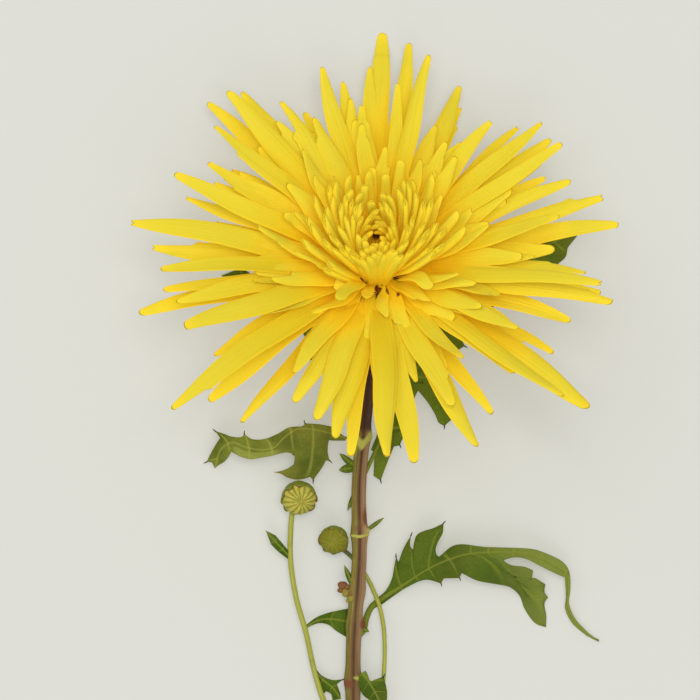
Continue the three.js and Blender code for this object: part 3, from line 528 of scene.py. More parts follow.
def innerFlorets():
    # from halfway inwards, the dome is filled with more florets, halfway between the others on the spiral
    i = np.arange(spiral["count"])
    filled = (i > spiral["quillsFrom"] * i.size) & (i < spiral["filledTo"] * i.size)
    i = np.concatenate([i, i[filled] + 0.5])
    inward = i / (spiral["count"] - 1)
    bearing = (i * golden + mix(*spiral["scatter"], inward) * (draw(i + 500) - 0.5)) % 360
    aside = fromFoot(bearing)
    splitFrom, splitTo = spiral["split"]
    nearFoot = smooth(*spiral["nearFoot"], np.abs(aside))
    fallen = nearFoot * smooth(splitTo, splitFrom, inward)
    upright = nearFoot * smooth(splitFrom, splitTo, inward) * smooth(*spiral["uprightTo"], inward)
    leaning = smooth(*spiral["leanFrom"], inward) * smooth(*spiral["leanTo"], inward)
    level = np.sin(aside * degree)
    fan = level * np.maximum(spiral["fan"] * upright, spiral["lean"] * leaning)
    turned = spiral["turn"] * level * leaning * (1 - upright)
    bearing = bearing - spiral["gathered"] * aside * upright - turned
    rootRadius = mix(mix(*spiral["rootRadii"], inward), spiral["uprightRoot"], upright)
    core = np.array(spiral["core"])
    rootHeight = np.interp(rootRadius, core[::-1, 1], core[::-1, 0]) - spiral["sunk"]
    spread = mix(1, spiral["fallenReach"], fallen) * mix(1, spiral["uprightReach"], upright)
    tipRadius = stops(spiral["tipRadii"], inward) * mix(*spiral["radiusScatter"], draw(i + 600)) * spread
    tipHeight = stops(spiral["tipHeights"], inward) * mix(1, spiral["fallenHeight"], fallen)
    tipHeight = tipHeight + mix(*spiral["heightScatter"], draw(i + 900))
    ways = ownWays(i, 3000)
    strap = inward < spiral["quillsFrom"]
    ways.update(toothDepth=ways["toothDepth"] * strap, notch=ways["notch"] * strap,
                cap=np.where(strap, ways["cap"], 1.0))
    return dict(
        bearing=bearing * degree, rootRadius=rootRadius, rootHeight=rootHeight,
        chord=np.hypot(tipRadius - rootRadius, tipHeight - rootHeight),
        rise=np.arctan2(tipHeight - rootHeight, tipRadius - rootRadius),
        bend=stops(spiral["bends"], inward) * degree,
        width=np.where(strap, 1, spiral["blunt"]) * stops(spiral["widths"], inward),
        roll=mix(*spiral["roll"], draw(i + 700)) * degree,
        sway=fan + mix(*spiral["sway"], draw(i + 800)), **ways,
    ), strap


# Short florets beside the cleft: place of each tip as seen from above, and width

shorts = dict(
    tips=[[-2.8, -7.8, 4.6], [-10.8, -8.4, 4.2], [-11.6, -4.2, 4.2], [9.4, -1.4, 4], [15.2, -3.8, 4.4]],
    footRadius=7.0, footHeight=5.2, lift=[30, 48], bend=26, tip=0.75, cap=1.5, channel=0.1, sway=0.4,
)


def shortFlorets():
    right, up, width = np.array(shorts["tips"], float).T
    i = np.arange(len(width))
    same = np.ones(len(width))
    lift = mix(*shorts["lift"], draw(i + 40)) * degree
    ways = ownWays(i, 4000)
    ways.update(tip=shorts["tip"] * same, cap=shorts["cap"] * same, channel=shorts["channel"] * same,
                toothDepth=0 * same, notch=0 * same)
    return dict(
        **aimAt(np.arctan2(up, right), np.hypot(right, up), lift, shorts["footRadius"], shorts["footHeight"]),
        rootRadius=shorts["footRadius"] * same, rootHeight=shorts["footHeight"] * same, rise=lift,
        bend=shorts["bend"] * degree * same, width=width, roll=0 * same,
        sway=shorts["sway"] * (draw(i + 60) - 0.5), **ways,
    )


def some(florets, chosen):
    return {k: v[chosen] for k, v in florets.items()}


def headLathe(profile, around, relief=None):  # a body about the bloom's axis through [height, radius]
    height, radius = np.array(profile, float).T[..., None]
    bearing = 2 * np.pi * np.arange(around)[None] / around
    proud = 0 if relief is None else relief(bearing, height)
    return tube(headPoint(bearing, radius + proud, height), together(bearing / (2 * np.pi), height, proud))


def petalFinish():
    p = Finish("petal satin")
    along, across, own = p.facts()
    under = across.step(-1.3, -1.5)
    grain = p.noise(p.vector(across * 6, along * 1.2, own * 40), 3)
    cloud = p.noise(p.place(60), 2)
    # painted shade: darker orange towards each floret's foot, deep in the bloom, and lit yellow further out
    colour = p.mix(petals["root"], petals["deep"], along.step(0.02, 0.3))
    colour = p.mix(colour, petals["lit"], (along + (own - 0.5) * 0.25).step(0.15, 0.8))
    # paler streaks towards the tips are painted highlights
    colour = p.mix(colour, petals["pale"], grain.step(0.55, 0.8) * along.step(0.4, 0.95) * 0.3)
    colour = p.mix(colour, petals["deep"], cloud.step(0.5, 0.75) * 0.25)
    colour = p.mix(colour, petals["pale"], under * 0.5)
    depth = p.node("Attribute", dict(attribute_name="depth"), output="Fac")
    # painted shade: orange where a point lies deep in the bloom, less of it out along a floret
    colour = p.mix(colour, petals["shade"], depth.step(1.5, 14.0) * (0.6 - along.step(0.3, 0.9) * 0.4))
    # painted shade, orange, at the rims and the tip, where the florets turn away
    edge = across.step(0.6, 1.0) + (-across).step(0.6, 1.0) * (1 - under) + along.step(0.9, 1.0) * 0.6
    colour = p.mix(colour, petals["shade"], edge * 0.2)
    speck = p.noise(p.place(700), 2)
    colour = p.mix(colour, petals["cleftShade"], (depth + speck * 24 - 12).step(22, 42))  # dark brown painted shade in the depths
    ribs = p.noise(p.vector(across * 7, along * 0.8, own * 40), 2)
    aside = (across + under * underside).reckon("ABSOLUTE")  # the ribs fade out towards the rims and the tip
    normal = p.bump((ribs - 0.5) * (1 - aside.step(0.7, 0.95)) * (1 - along.step(0.75, 0.95)), 0.0003, 0.8)
    # painted glow: an orange emission, standing in for light that comes through the petals, fills the shade
    # part-way into the bloom and lights the rims and the tip
    shaded = depth.step(0, 9) * (1 - depth.step(20, 36))
    rim = aside.step(0.8, 1.0) + along.step(0.9, 1.0) * (1 - under)
    paintedGlow = p.mix((0, 0, 0, 1), petals["shade"], (shaded + rim) * petals["glow"])
    return p.shade(colour, petals["roughness"] + grain * 0.1, normal, Emission_Color=paintedGlow,
                   Emission_Strength=1.0, Specular_IOR_Level=0.04)


def setDepths(shapes, cell=2.0, cells=120):
    # How deep each point lies in the bloom: the highest floret over its cell of a grid across the bloom,
    # spread to the cells around it and evened out, less the point's own height along the bloom's axis.
    # the petals' finish paints shade, and a glow, where this depth is great
    points = np.concatenate([s["points"] for s in shapes]) - headMiddle
    across = np.stack([points[:, 0], points[:, 1] * headCos - points[:, 2] * headSin], -1)
    height = points[:, 1] * headSin + points[:, 2] * headCos
    column, row = (across / cell + cells / 2).astype(int).clip(1, cells - 2).T
    top = np.full((cells, cells), -20.0)  # lower than any floret
    np.maximum.at(top, (column, row), height)
    near = [(i, j) for i in (-1, 0, 1) for j in (-1, 0, 1)]
    top = np.max([np.roll(top, n, (0, 1)) for n in near], 0)
    for again in range(2):
        top = np.mean([np.roll(top, n, (0, 1)) for n in near], 0)
    depth = np.maximum(top[column, row] - height, 0)
    # more is added in the cleft where the upright florets part from the fallen ones, most at the florets'
    # rims, and in the eye and the creases, where the painted shade turns dark brown
    rim = np.abs(np.concatenate([s["facts"][:, 1] for s in shapes])).clip(0, 1)
    off = (points[:, :2] - petals["cleftAt"]) / petals["cleftReach"]
    cleftShade = smooth(1, 0.1, np.linalg.norm(off, axis=1) * mix(2.6, 0.75, rim**2))
    off = (points[:, :2] - petals["eyeAt"]) / petals["eyeReach"]
    eye = petals["eyeDepth"] * smooth(1, 0.3, np.linalg.norm(off, axis=1)) * smooth(2, 7, depth)
    cleftShade = np.maximum(cleftShade, eye)
    for crease in petals["creases"]:
        start, end = np.split(np.array(crease), 2)
        way = end - start
        t = np.clip((points[:, :2] - start) @ way / (way @ way), 0, 1)
        off = np.linalg.norm(points[:, :2] - start - t[:, None] * way, axis=1)
        inCrease = smooth(1, 0.3, off / (petals["creaseWidth"] * (1 - 0.6 * t)))
        cleftShade = np.maximum(cleftShade, inCrease * smooth(0.3, 0.9, rim))
    depth += petals["cleftDepth"] * cleftShade
    for s, own in zip(shapes, np.split(depth, np.cumsum([len(s["points"]) for s in shapes])[:-1])):
        s["depth"] = own


petal = petalFinish()
inner, strap = innerFlorets()
core = headLathe(spiral["core"], 48)
core["facts"][:] = [0.1, 0, 0.5]
outer = [ribbon(longFlorets(), rows=26, lanes=10), ribbon(skirtFlorets(), rows=18, lanes=8)]
middle = [core, ribbon(some(inner, strap), rows=20, lanes=8), ribbon(shortFlorets(), rows=16, lanes=8)]
dome = [ribbon(some(inner, ~strap), rows=16, lanes=6, quill=True)]
setDepths(outer + middle + dome)
addPiece("bloom_long_florets", outer, ["bloom"], [petal])
addPiece("bloom_inner_florets", middle, ["bloom"], [petal])
addPiece("bloom_dome", dome, ["bloom"], [petal])
print("bloom made")

# Disc florets: a low button under small blunt cones in a golden-angle spiral
# facts: place up the floret; its distance from the axis; a number of its own

disc = dict(florets=46, top=15.5, domed=0.09, scatter=0.5, spacing=0.345, girth=0.2, drawnIn=0.82,
            low=srgb(96, 66, 20), tip=srgb(168, 142, 40), brown=srgb(88, 54, 22))


def discShapes(rows=6, around=8):
    base, radius = button["base"], button["radius"]
    body = headLathe([[base, radius], [base + 1.6, radius], [base + 2.4, 1.4]], 32)
    i = np.arange(disc["florets"])[:, None, None]
    s = np.linspace(0, 1, rows)[None, :, None]
    angle = (2 * np.pi * np.arange(around) / around)[None, None]
    way, out = i * golden * degree, disc["spacing"] * np.sqrt(i + 0.5)
    girth = disc["girth"] * np.sqrt(np.maximum(1 - smooth(0.45, 1.08, s) ** 2, 0)) * mix(0.8, 1.1, draw(i))
    top = disc["top"] - disc["domed"] * out**2 - disc["scatter"] * draw(i + 40)
    lean = mix(1, disc["drawnIn"], s)
    right = out * lean * np.cos(way) + girth * np.cos(angle)
    up = out * lean * np.sin(way) + girth * np.sin(angle)
    points = headDirection(right, up, mix(base + 1.2, top, s)) + headMiddle
    facts = np.broadcast_to(together(s, out, draw(i + 80)), points.shape)
    return [body] + [tube(p, q) for p, q in zip(points, facts)]


def discFinish():
    p = Finish("disc olive")
    s, out, own = p.facts()
    speck = p.noise(p.place(900), 2)
    colour = p.mix(disc["low"], disc["tip"], s.step(0.35, 1.0))
    colour = p.mix(colour, disc["brown"], own.step(0.55, 0.9) * 0.7)
    return p.shade(colour, 0.6, p.bump(speck, 0.0001, 0.5))


addPiece("disc", discShapes(), ["disc_florets"], [discFinish()])

# Calyx: rows of bracts, each standing further out of the cup towards its own round tip
# facts: bearing; height; how proud the bract stands

cup = dict(
    # each row's foot and number of bracts; then the cup's outline as height and radius
    rows=[[-8.4, 9], [-6, 12], [-3.2, 15]], rise=3.6, proud=1.0, heights=90, around=180,
    outline=[[-9, 2.7], [-8, 4.2], [-7, 5.6], [-6, 6.7], [-5, 7.4], [-4, 7.9], [-3, 8.3], [-2, 8.6],
             [-1, 8.7], [0.3, 8.4]],
    green=srgb(104, 122, 58), pale=srgb(146, 156, 84), edge=srgb(116, 84, 48),
)


def cupRelief(bearing, height):
    most = np.zeros(np.broadcast_shapes(bearing.shape, height.shape))
    for k, (foot, count) in enumerate(cup["rows"]):
        place = bearing / (2 * np.pi) * count + k / 2
        arch = 1 - (2 * (place - np.floor(place)) - 1) ** 2
        tip = foot + cup["rise"] * (0.55 + 0.45 * arch)
        rising = np.clip((height - foot) / cup["rise"], 0, 1) * smooth(tip + 0.12, tip - 0.05, height)
        most = np.maximum(most, cup["proud"] * rising * (0.4 + 0.6 * arch))
    return most


def cupFinish():
    p = Finish("bract green")
    bearing, height, proud = p.facts()
    streak = p.noise(p.vector(bearing * 260, height * 0.8, 0.0), 3)
    colour = p.mix(cup["green"], cup["pale"], streak.step(0.35, 0.75))
    colour = p.mix(colour, cup["edge"], proud.step(0.62, 0.86) * 0.8)
    return p.shade(colour, 0.55, p.bump(streak, 0.0002, 0.6))


cupHeights = np.linspace(cup["outline"][0][0], cup["outline"][-1][0], cup["heights"])
cupOutline = together(cupHeights, stops(cup["outline"], cupHeights))
calyx = headLathe(cupOutline, cup["around"], cupRelief)
addPiece("calyx_bracts", [calyx], ["calyx"], [cupFinish()])
print("calyx and disc made")

# Stem: ribbed, swollen at its nodes and cut at a slant
# facts: angle round the stem as a share; place along Y; tint of a scar or ridge, pale above 0 and brown below

stem = dict(
    first=-9.3,  # the stem starts at this height on the bloom's axis, inside the calyx
    path=[[0, -6, 10.7], [-0.3, -9.5, 7.9], [-1, -15, 6.2], [-2.4, -30, 5.6], [-3.9, -45, 5.2],
          [-5.1, -60, 4.9], [-5, -80, 4.5], [-6.4, -99, 4], [-6.8, -115, 3.7], [-6.2, -140, 3.2],
          [-5.4, -170, 2.7], [-5, -200, 2.15]],
    taper=[[-200, 2.15], [-60, 2.05], [-15, 1.9], [0, 2.5]],
    nodes=[-22, -46, -73, -89, -99, -114, -142, -168], swelling=0.4, spread=2.6, ribs=5, ribDepth=0.05,
    fineRibs=21, fineDepth=0.02, slant=0.62, rows=420, around=48,
    # scars and ridges: place along Y, angle in degrees (90 is on top), height, length, width in degrees,
    # tint, and how far the scar dips towards the cut end on top
    scars=[[-45.6, 90, 0.3, 1.3, 400, 1.0, 2.6], [-49.5, 165, 0.1, 2.6, 38, 0.8, 0],
           [-73.6, 90, 0.22, 0.4, 400, 0.8, 0.3], [-72.0, 28, 0.9, 1.0, 30, 1.1, 0],
           [-68.6, 30, 0.2, 3.0, 34, -0.7, 0], [-98.4, 18, 0.8, 1.3, 30, -1.1, 0],
           [-115, 120, 0.3, 1.5, 46, -0.7, 0], [-90.4, 160, 0.5, 1.4, 46, -0.6, 0],
           [-113.6, 60, 0.25, 0.7, 40, 0.8, 0], [-71.6, 90, 0, 1.0, 400, -0.3, 0]],
    brown=srgb(84, 58, 34), olive=srgb(124, 114, 50), dark=srgb(58, 38, 22), tan=srgb(164, 132, 96),
    pale=srgb(178, 176, 84), scar=srgb(118, 68, 46), maroon=srgb(66, 40, 34),
)


def stemShape():
    path = np.concatenate([[headPoint(0.0, 0.0, stem["first"])], stem["path"]])
    path = curveThrough(path, stem["rows"])
    along = path[:, 1][:, None]
    angle = 2 * np.pi * (np.arange(stem["around"]) + 0.5)[None] / stem["around"]
    swelling = sum(stem["swelling"] * bell(along - node, stem["spread"]) for node in stem["nodes"])
    radius = (stops(stem["taper"], along) + swelling) * (1 + stem["ribDepth"] * np.cos(stem["ribs"] * angle))
    radius = radius + stem["fineDepth"] * np.sin(stem["fineRibs"] * angle + 0.3 * along)
    tint = np.zeros(radius.shape)
    for place, middle, height, length, width, hue, dip in stem["scars"]:
        turned = (angle / degree - middle + 180) % 360 - 180
        off = along - place + dip * bell(turned, 34)
        radius = radius + height * bell(off, length) * bell(turned, width)
        tint = tint + hue * bell(off, length * 1.1) * bell(turned, width * 1.1)
    rings = sweep(path, radius, stem["around"])
    forward = unit(path[-1] - path[-2])
    rings[-1] += forward * (stem["slant"] * radius[-1] * np.sin(angle[0]))[:, None]
    return tube(rings, together(angle / (2 * np.pi), along, tint))


def stemFinish():
    p = Finish("stem bark")
    angle, along, tint = p.facts()
    streak = p.noise(p.vector(angle * 34, along * 0.045, 0.0), 3)
    fine = p.noise(p.vector(angle * 90, along * 0.25, 4.0), 2)
    patch = p.noise(p.vector(angle * 3, along * 0.12, 9.0), 2)
    middle = angle.bell(0.235, 0.055)  # from above: tan on the right, dark in the middle, olive on the left
    colour = p.mix(stem["tan"], stem["olive"], angle.step(0.24, 0.34))
    colour = p.mix(colour, stem["pale"], fine.step(0.52, 0.68) * angle.bell(0.36, 0.1) * 0.5)
    colour = p.mix(colour, stem["brown"], middle)
    colour = p.mix(colour, stem["dark"], streak.step(0.45, 0.75) * 0.6)
    colour = p.mix(colour, stem["olive"], patch.step(0.5, 0.8) * 0.3)
    colour = p.mix(colour, stem["brown"], along.step(-88, -112) * 0.3)
    colour = p.mix(colour, stem["maroon"], along.step(-45.5, -43.0) * 0.85)
    colour = p.mix(colour, stem["pale"], tint.step(0.15, 0.7))
    colour = p.mix(colour, stem["scar"], (-tint).step(0.1, 0.7))
    return p.shade(colour, 0.55, p.bump(fine, 0.0002, 0.6), Specular_IOR_Level=0.1)


addPiece("stem_bark", [stemShape()], ["stem"], [stemFinish()])
print("stem made")

# Leaves
# A leaf's rows leave its midrib at share m of its length and run to the edge that is listed for the same m.
# facts: vein number, whole on a side vein; place across, less underside below; distance from the midrib up to
# 5, with up to 10 added where the blade is rolled and shows its paler side, and spineFact on the spines

spineFact = 30.0
blades = dict(
    thickness=0.5, stalk=0.6, columns=14, rows=150, ribPoints=240, veinSink=0.12, veinWidth=0.13, quilt=0.3,
    edgeWave=0.3, corner=0.6, cornerPoints=5, spine=[1.0, 0.24], stalkPoints=120, stalkDrop=0.08,
    # how a row runs: share of the midrib, then the knee's way along it and away from it
    bends=[[[0, 0.4, 0.7]], [[0, 0.4, 0.7]]],
    under=srgb(156, 164, 80), spineTint=srgb(52, 50, 34),
    # each kind's two greens, its dry patches with their strength, its veins, the midrib's strength and how
    # far it pales towards its tip
    aged=[srgb(120, 128, 46), srgb(84, 94, 28), srgb(118, 88, 42), 0.5, srgb(162, 166, 76), 0.35, 0.0],
    fresh=[srgb(84, 106, 26), srgb(54, 80, 12), srgb(92, 84, 32), 0.3, srgb(134, 140, 50), 0.55, 0.45],
    # a lighter copy of the fresh colours: painted light on the leaves under the bloom, against the shade of
    # its petals
    lightenedUnderBloom=[srgb(104, 122, 32), srgb(76, 96, 18), srgb(104, 96, 38), 0.3, srgb(148, 154, 58), 0.45, 0.0],
)


def rounded(edge):  # an outline with its points joined by curves, apart from the sharp ones
    ways = unit(np.diff(edge[:, :2], axis=0))
    turns = np.einsum("ij,ij->i", ways[:-1], ways[1:])
    sharp = np.concatenate([[0], np.nonzero(turns < blades["corner"])[0] + 1, [len(edge) - 1]])
    each = blades["cornerPoints"]
    runs = [curveThrough(edge[a:b + 1], each * (b - a) + 1) for a, b in zip(sharp[:-1], sharp[1:])]
    joined = np.concatenate([runs[0]] + [run[1:] for run in runs[1:]])
    joined[:, 2] = np.maximum.accumulate(joined[:, 2]) + 1e-6 * np.arange(len(joined))
    return joined


def edgeOf(side, rib, shares):
    # An outline's points, each with the share of the midrib that its vein starts from. Where none is listed,
    # the vein starts a little before the nearest place on the midrib, further before it for a far point.
    side = np.array(side, float)
    if side.shape[1] == 3:
        return side
    apart = np.linalg.norm(side[:, None] - rib[None, :, :2], axis=2)
    nearest = np.argmin(apart, 1)
    length = np.linalg.norm(np.diff(rib[:, :2], axis=0), axis=1).sum()
    start = shares[nearest] - 0.6 * apart.min(1) / length
    start = np.maximum.accumulate(np.clip(start, 0.01, 0.99)) + 1e-4 * np.arange(len(side))
    return np.column_stack([side, start])


def leafPlan(f, rib, middle, m, edges):
    # Each row is a curve with one knee, from its place on the midrib to the edge.
    tangent = unit(np.gradient(middle[:, :2], axis=0) + 1e-9)
    if "way" in f:  # rows are laid out by one way along, where the midrib turns too sharply
        tangent = np.broadcast_to(f["way"], tangent.shape)
    c = np.linspace(0, 1, blades["columns"])[None, :, None]
    halves = []
    for edge, bends in zip(edges, f.get("bends", blades["bends"])):
        full = np.concatenate([[[*rib[0, :2], -0.001]], edge, [[*rib[-1, :2], 1.001]]])
        end = columnsAt(m, full[:, 2], full[:, :2])
        off = end - middle[:, :2]
        forward = np.einsum("ij,ij->i", off, tangent)[:, None] * tangent
        ahead, aside = (stops(np.array(bends)[:, [0, k]], m)[:, None] for k in (1, 2))
        knee = middle[:, :2] + forward * ahead + (off - forward) * aside
        start, knee, end = middle[:, None, :2], knee[:, None], end[:, None]
        halves.append((1 - c) ** 2 * start + 2 * c * (1 - c) * knee + c**2 * end)
    return np.concatenate([halves[0][:, :0:-1], halves[1]], 1)


def leafBlade(f, rib, m, plan):
    # A point's height is the midrib's nearby, less its side's fall for each millimetre away from it. The
    # blade sinks along its veins, swells between them and waves at its edge.
    c = np.linspace(0, 1, blades["columns"])
    across = np.concatenate([c[:0:-1], c])[None]
    # below 0 on the first side, 0 on the midrib and above 0 on the second side
    column = np.arange(across.size)[None] - (blades["columns"] - 1)
    fall = np.where(column < 0, *f["falls"])
    apart = np.linalg.norm(plan[:, :, None] - rib[None, None, :, :2], axis=3)
    weight = (apart + 0.3) ** -6
    away = apart.min(2)
    height = (weight * rib[:, 2]).sum(2) / weight.sum(2) - fall * away
    vein = np.interp(m, f["veins"], np.arange(len(f["veins"])))[:, None] + 0 * across
    line = bell((vein + 0.5) % 1 - 0.5, blades["veinWidth"])
    relief = f.get("quilt", blades["quilt"]) * (1 - line) * np.sin(np.pi * across)
    relief = (relief - blades["veinSink"] * line * (1 - across) ** 0.5) * smooth(0.5, 3, away)
    wave = blades["edgeWave"] * np.sin(2 * np.pi * 1.5 * vein)
    relief += wave * across**3 * smooth(1, 4, away)
    height = np.maximum(height + relief, blades["thickness"] / 2 + 0.05)
    thick = blades["thickness"] * (1 - 0.5 * across**4)
    top = np.dstack([plan, height + thick / 2])
    low = np.dstack([plan, height - thick / 2])
    fromLow, fromHigh, toLow, toHigh = f.get("rolled", [2, 3, 4, 5])
    rolled = smooth(fromLow, fromHigh, m[:, None]) * smooth(toHigh, toLow, m[:, None])
    rolled = rolled * smooth(0.1, 0.4, across) * (column > 0)
    tone = np.minimum(away, 5) + 10 * rolled
    shown, hidden = together(vein, across, tone), together(vein, across - underside, tone)
    facts = np.concatenate([shown, hidden[:, ::-1]], 1)
    return tube(np.concatenate([top, low[:, ::-1]], 1), facts), height


def leafStalk(f, around=12):
    path = curveThrough(np.concatenate([f.get("foot", np.zeros((0, 3))), f["midrib"]]), blades["stalkPoints"])
    t = np.linspace(0, 1, len(path))[:, None]
    girth = f.get("stalk", blades["stalk"]) * mix(1, 0.35, smooth(0.04, 0.3, t)) * np.ones((1, around))
    rings = sweep(path - [0, 0, blades["stalkDrop"]], girth, around)
    return tube(rings, together(0.5 + 0 * girth, 0.0, 0.0))


def leafSpines(f, sides, rib, m, height):
    # One on each corner that points away from the midrib, apart from those on a bare stretch of it.
    spines = []
    bareFrom, bareTo = f.get("bare", [1, 1])
    for side, column in zip(sides, (0, -1)):
        if len(side) < 7:
            continue
        for before, corner, after in zip(side[:-2], side[1:-1], side[2:]):
            ways = unit(np.array([corner[:2] - before[:2], corner[:2] - after[:2]]))
            nearest = rib[np.argmin(np.linalg.norm(rib[:, :2] - corner[:2], axis=1)), :2]
            outward = np.dot(ways.sum(0), corner[:2] - nearest) > 0 and not bareFrom < corner[2] < bareTo
            if np.dot(*ways) > -blades["corner"] and outward:
                at = [*corner[:2], np.interp(corner[2], m, height[:, column])]
                spines.append(spine(at, unit(ways.sum(0))))
    return spines


def spine(at, way, rows=7, around=6):  # a thin cone on a tooth's corner, bent slightly forward and down
    length, girth = blades["spine"]
    t = np.linspace(-0.3, 1, rows)[:, None]
    aside = np.array([way[1], -way[0], 0])
    path = np.array(at) + np.array([*way, -0.15]) * length * t + aside * 0.2 * length * t**2
    girths = girth * np.sqrt(np.maximum(1.03 - t, 0) / 1.3) * np.ones((1, around))
    return tube(sweep(path, girths, around), np.broadcast_to([0.5, 0.0, spineFact], (rows, around, 3)))


def leafShapes(f):
    rib = curveThrough(f["midrib"], blades["ribPoints"])
    shares = np.linspace(0, 1, len(rib))
    sides = [edgeOf(side, rib, shares) for side in f["sides"]]
    edges = [rounded(side) for side in sides]
    m = np.concatenate([np.linspace(0, 1, f.get("rows", blades["rows"])), edges[0][:, 2], edges[1][:, 2]])
    m = np.unique(np.round(m.clip(0, 1), 6))
    plan = leafPlan(f, rib, columnsAt(m, shares, rib), m, edges)
    blade, height = leafBlade(f, rib, m, plan)
    return [blade, leafStalk(f)] + leafSpines(f, sides, rib, m, height)


def leafFinish(name, greens, shade, dry, dryness, veins, strength, paling):
    p = Finish(name)
    vein, across, away = p.facts()
    under = across.step(-1.2, -1.4)
    line = ((vein + 0.5).reckon("FRACT") - 0.5).bell(0.0, 0.05) * across.step(1.1, 0.5)
    rib = away.step(0.36, 0.14)
    cloud = p.noise(p.place(110), 4)
    brownish = p.noise(p.place(60), 2)
    net = p.node("TexVoronoi", dict(feature="DISTANCE_TO_EDGE"), {"Vector": p.place(800), "Scale": 1.0})
    colour = p.mix(shade, greens, cloud.step(0.3, 0.65))
    colour = p.mix(colour, dry, brownish.step(0.45, 0.75) * dryness)
    colour = p.mix(colour, shade, net.step(0.1, 0.0) * 0.35)
    pale = vein.step(5.0, 10.0) + vein.bell(6.8, 0.8) * across.step(0.5, 0.95) * 0.4
    colour = p.mix(colour, blades["under"], pale * paling)
    colour = p.mix(colour, blades["under"], under * 0.8 + away.step(6, 14) * 0.55)
    colour = p.mix(colour, veins, line * 0.45)
    colour = p.mix(colour, veins, rib * strength)
    colour = p.mix(colour, dry, across.step(0.93, 1.0) * cloud.step(0.45, 0.65) * 0.8)
    colour = p.mix(colour, blades["spineTint"], away.step(20, 28))
    relief = cloud * 0.3 + net.step(0.0, 0.3) * 0.4
    return p.shade(colour, 0.55 + cloud * 0.15, p.bump(relief, 0.0003, 0.7), Specular_IOR_Level=0.08)


def bractShape(foot, tip, half, rows=28, lanes=8):
    # Its breadth is half of full at the foot, full at a third of the way, and drawn to a point. Its middle
    # lies lower than its edges, and it bows upwards along its length.
    foot, tip = np.array(foot, float), np.array(tip, float)
    t = np.linspace(0, 1, rows)[:, None]
    forward = unit(tip - foot)
    side = unit(np.cross([0, 0, 1], forward))
    up = np.cross(forward, side)
    turn = np.pi * np.arange(2 * lanes) / lanes
    u, face = np.cos(turn)[None], np.sin(turn)[None]
    drawnIn = np.sqrt(np.maximum(1 - smooth(0.3, 1.02, t) ** 2, 0.002))
    breadth = half * mix(0.5, 1, smooth(0, 0.35, t)) * drawnIn
    lift = 0.18 * face * (1.4 - t) + 0.5 * half * u**2 * (1 - t) + 0.25 * half * np.sin(np.pi * t)
    points = foot + (tip - foot) * t[..., None] + side * (breadth * u)[..., None] + up * lift[..., None]
    return tube(points, together(3 * t, np.abs(u) - underside * (face < -0.01), breadth * np.abs(u)))


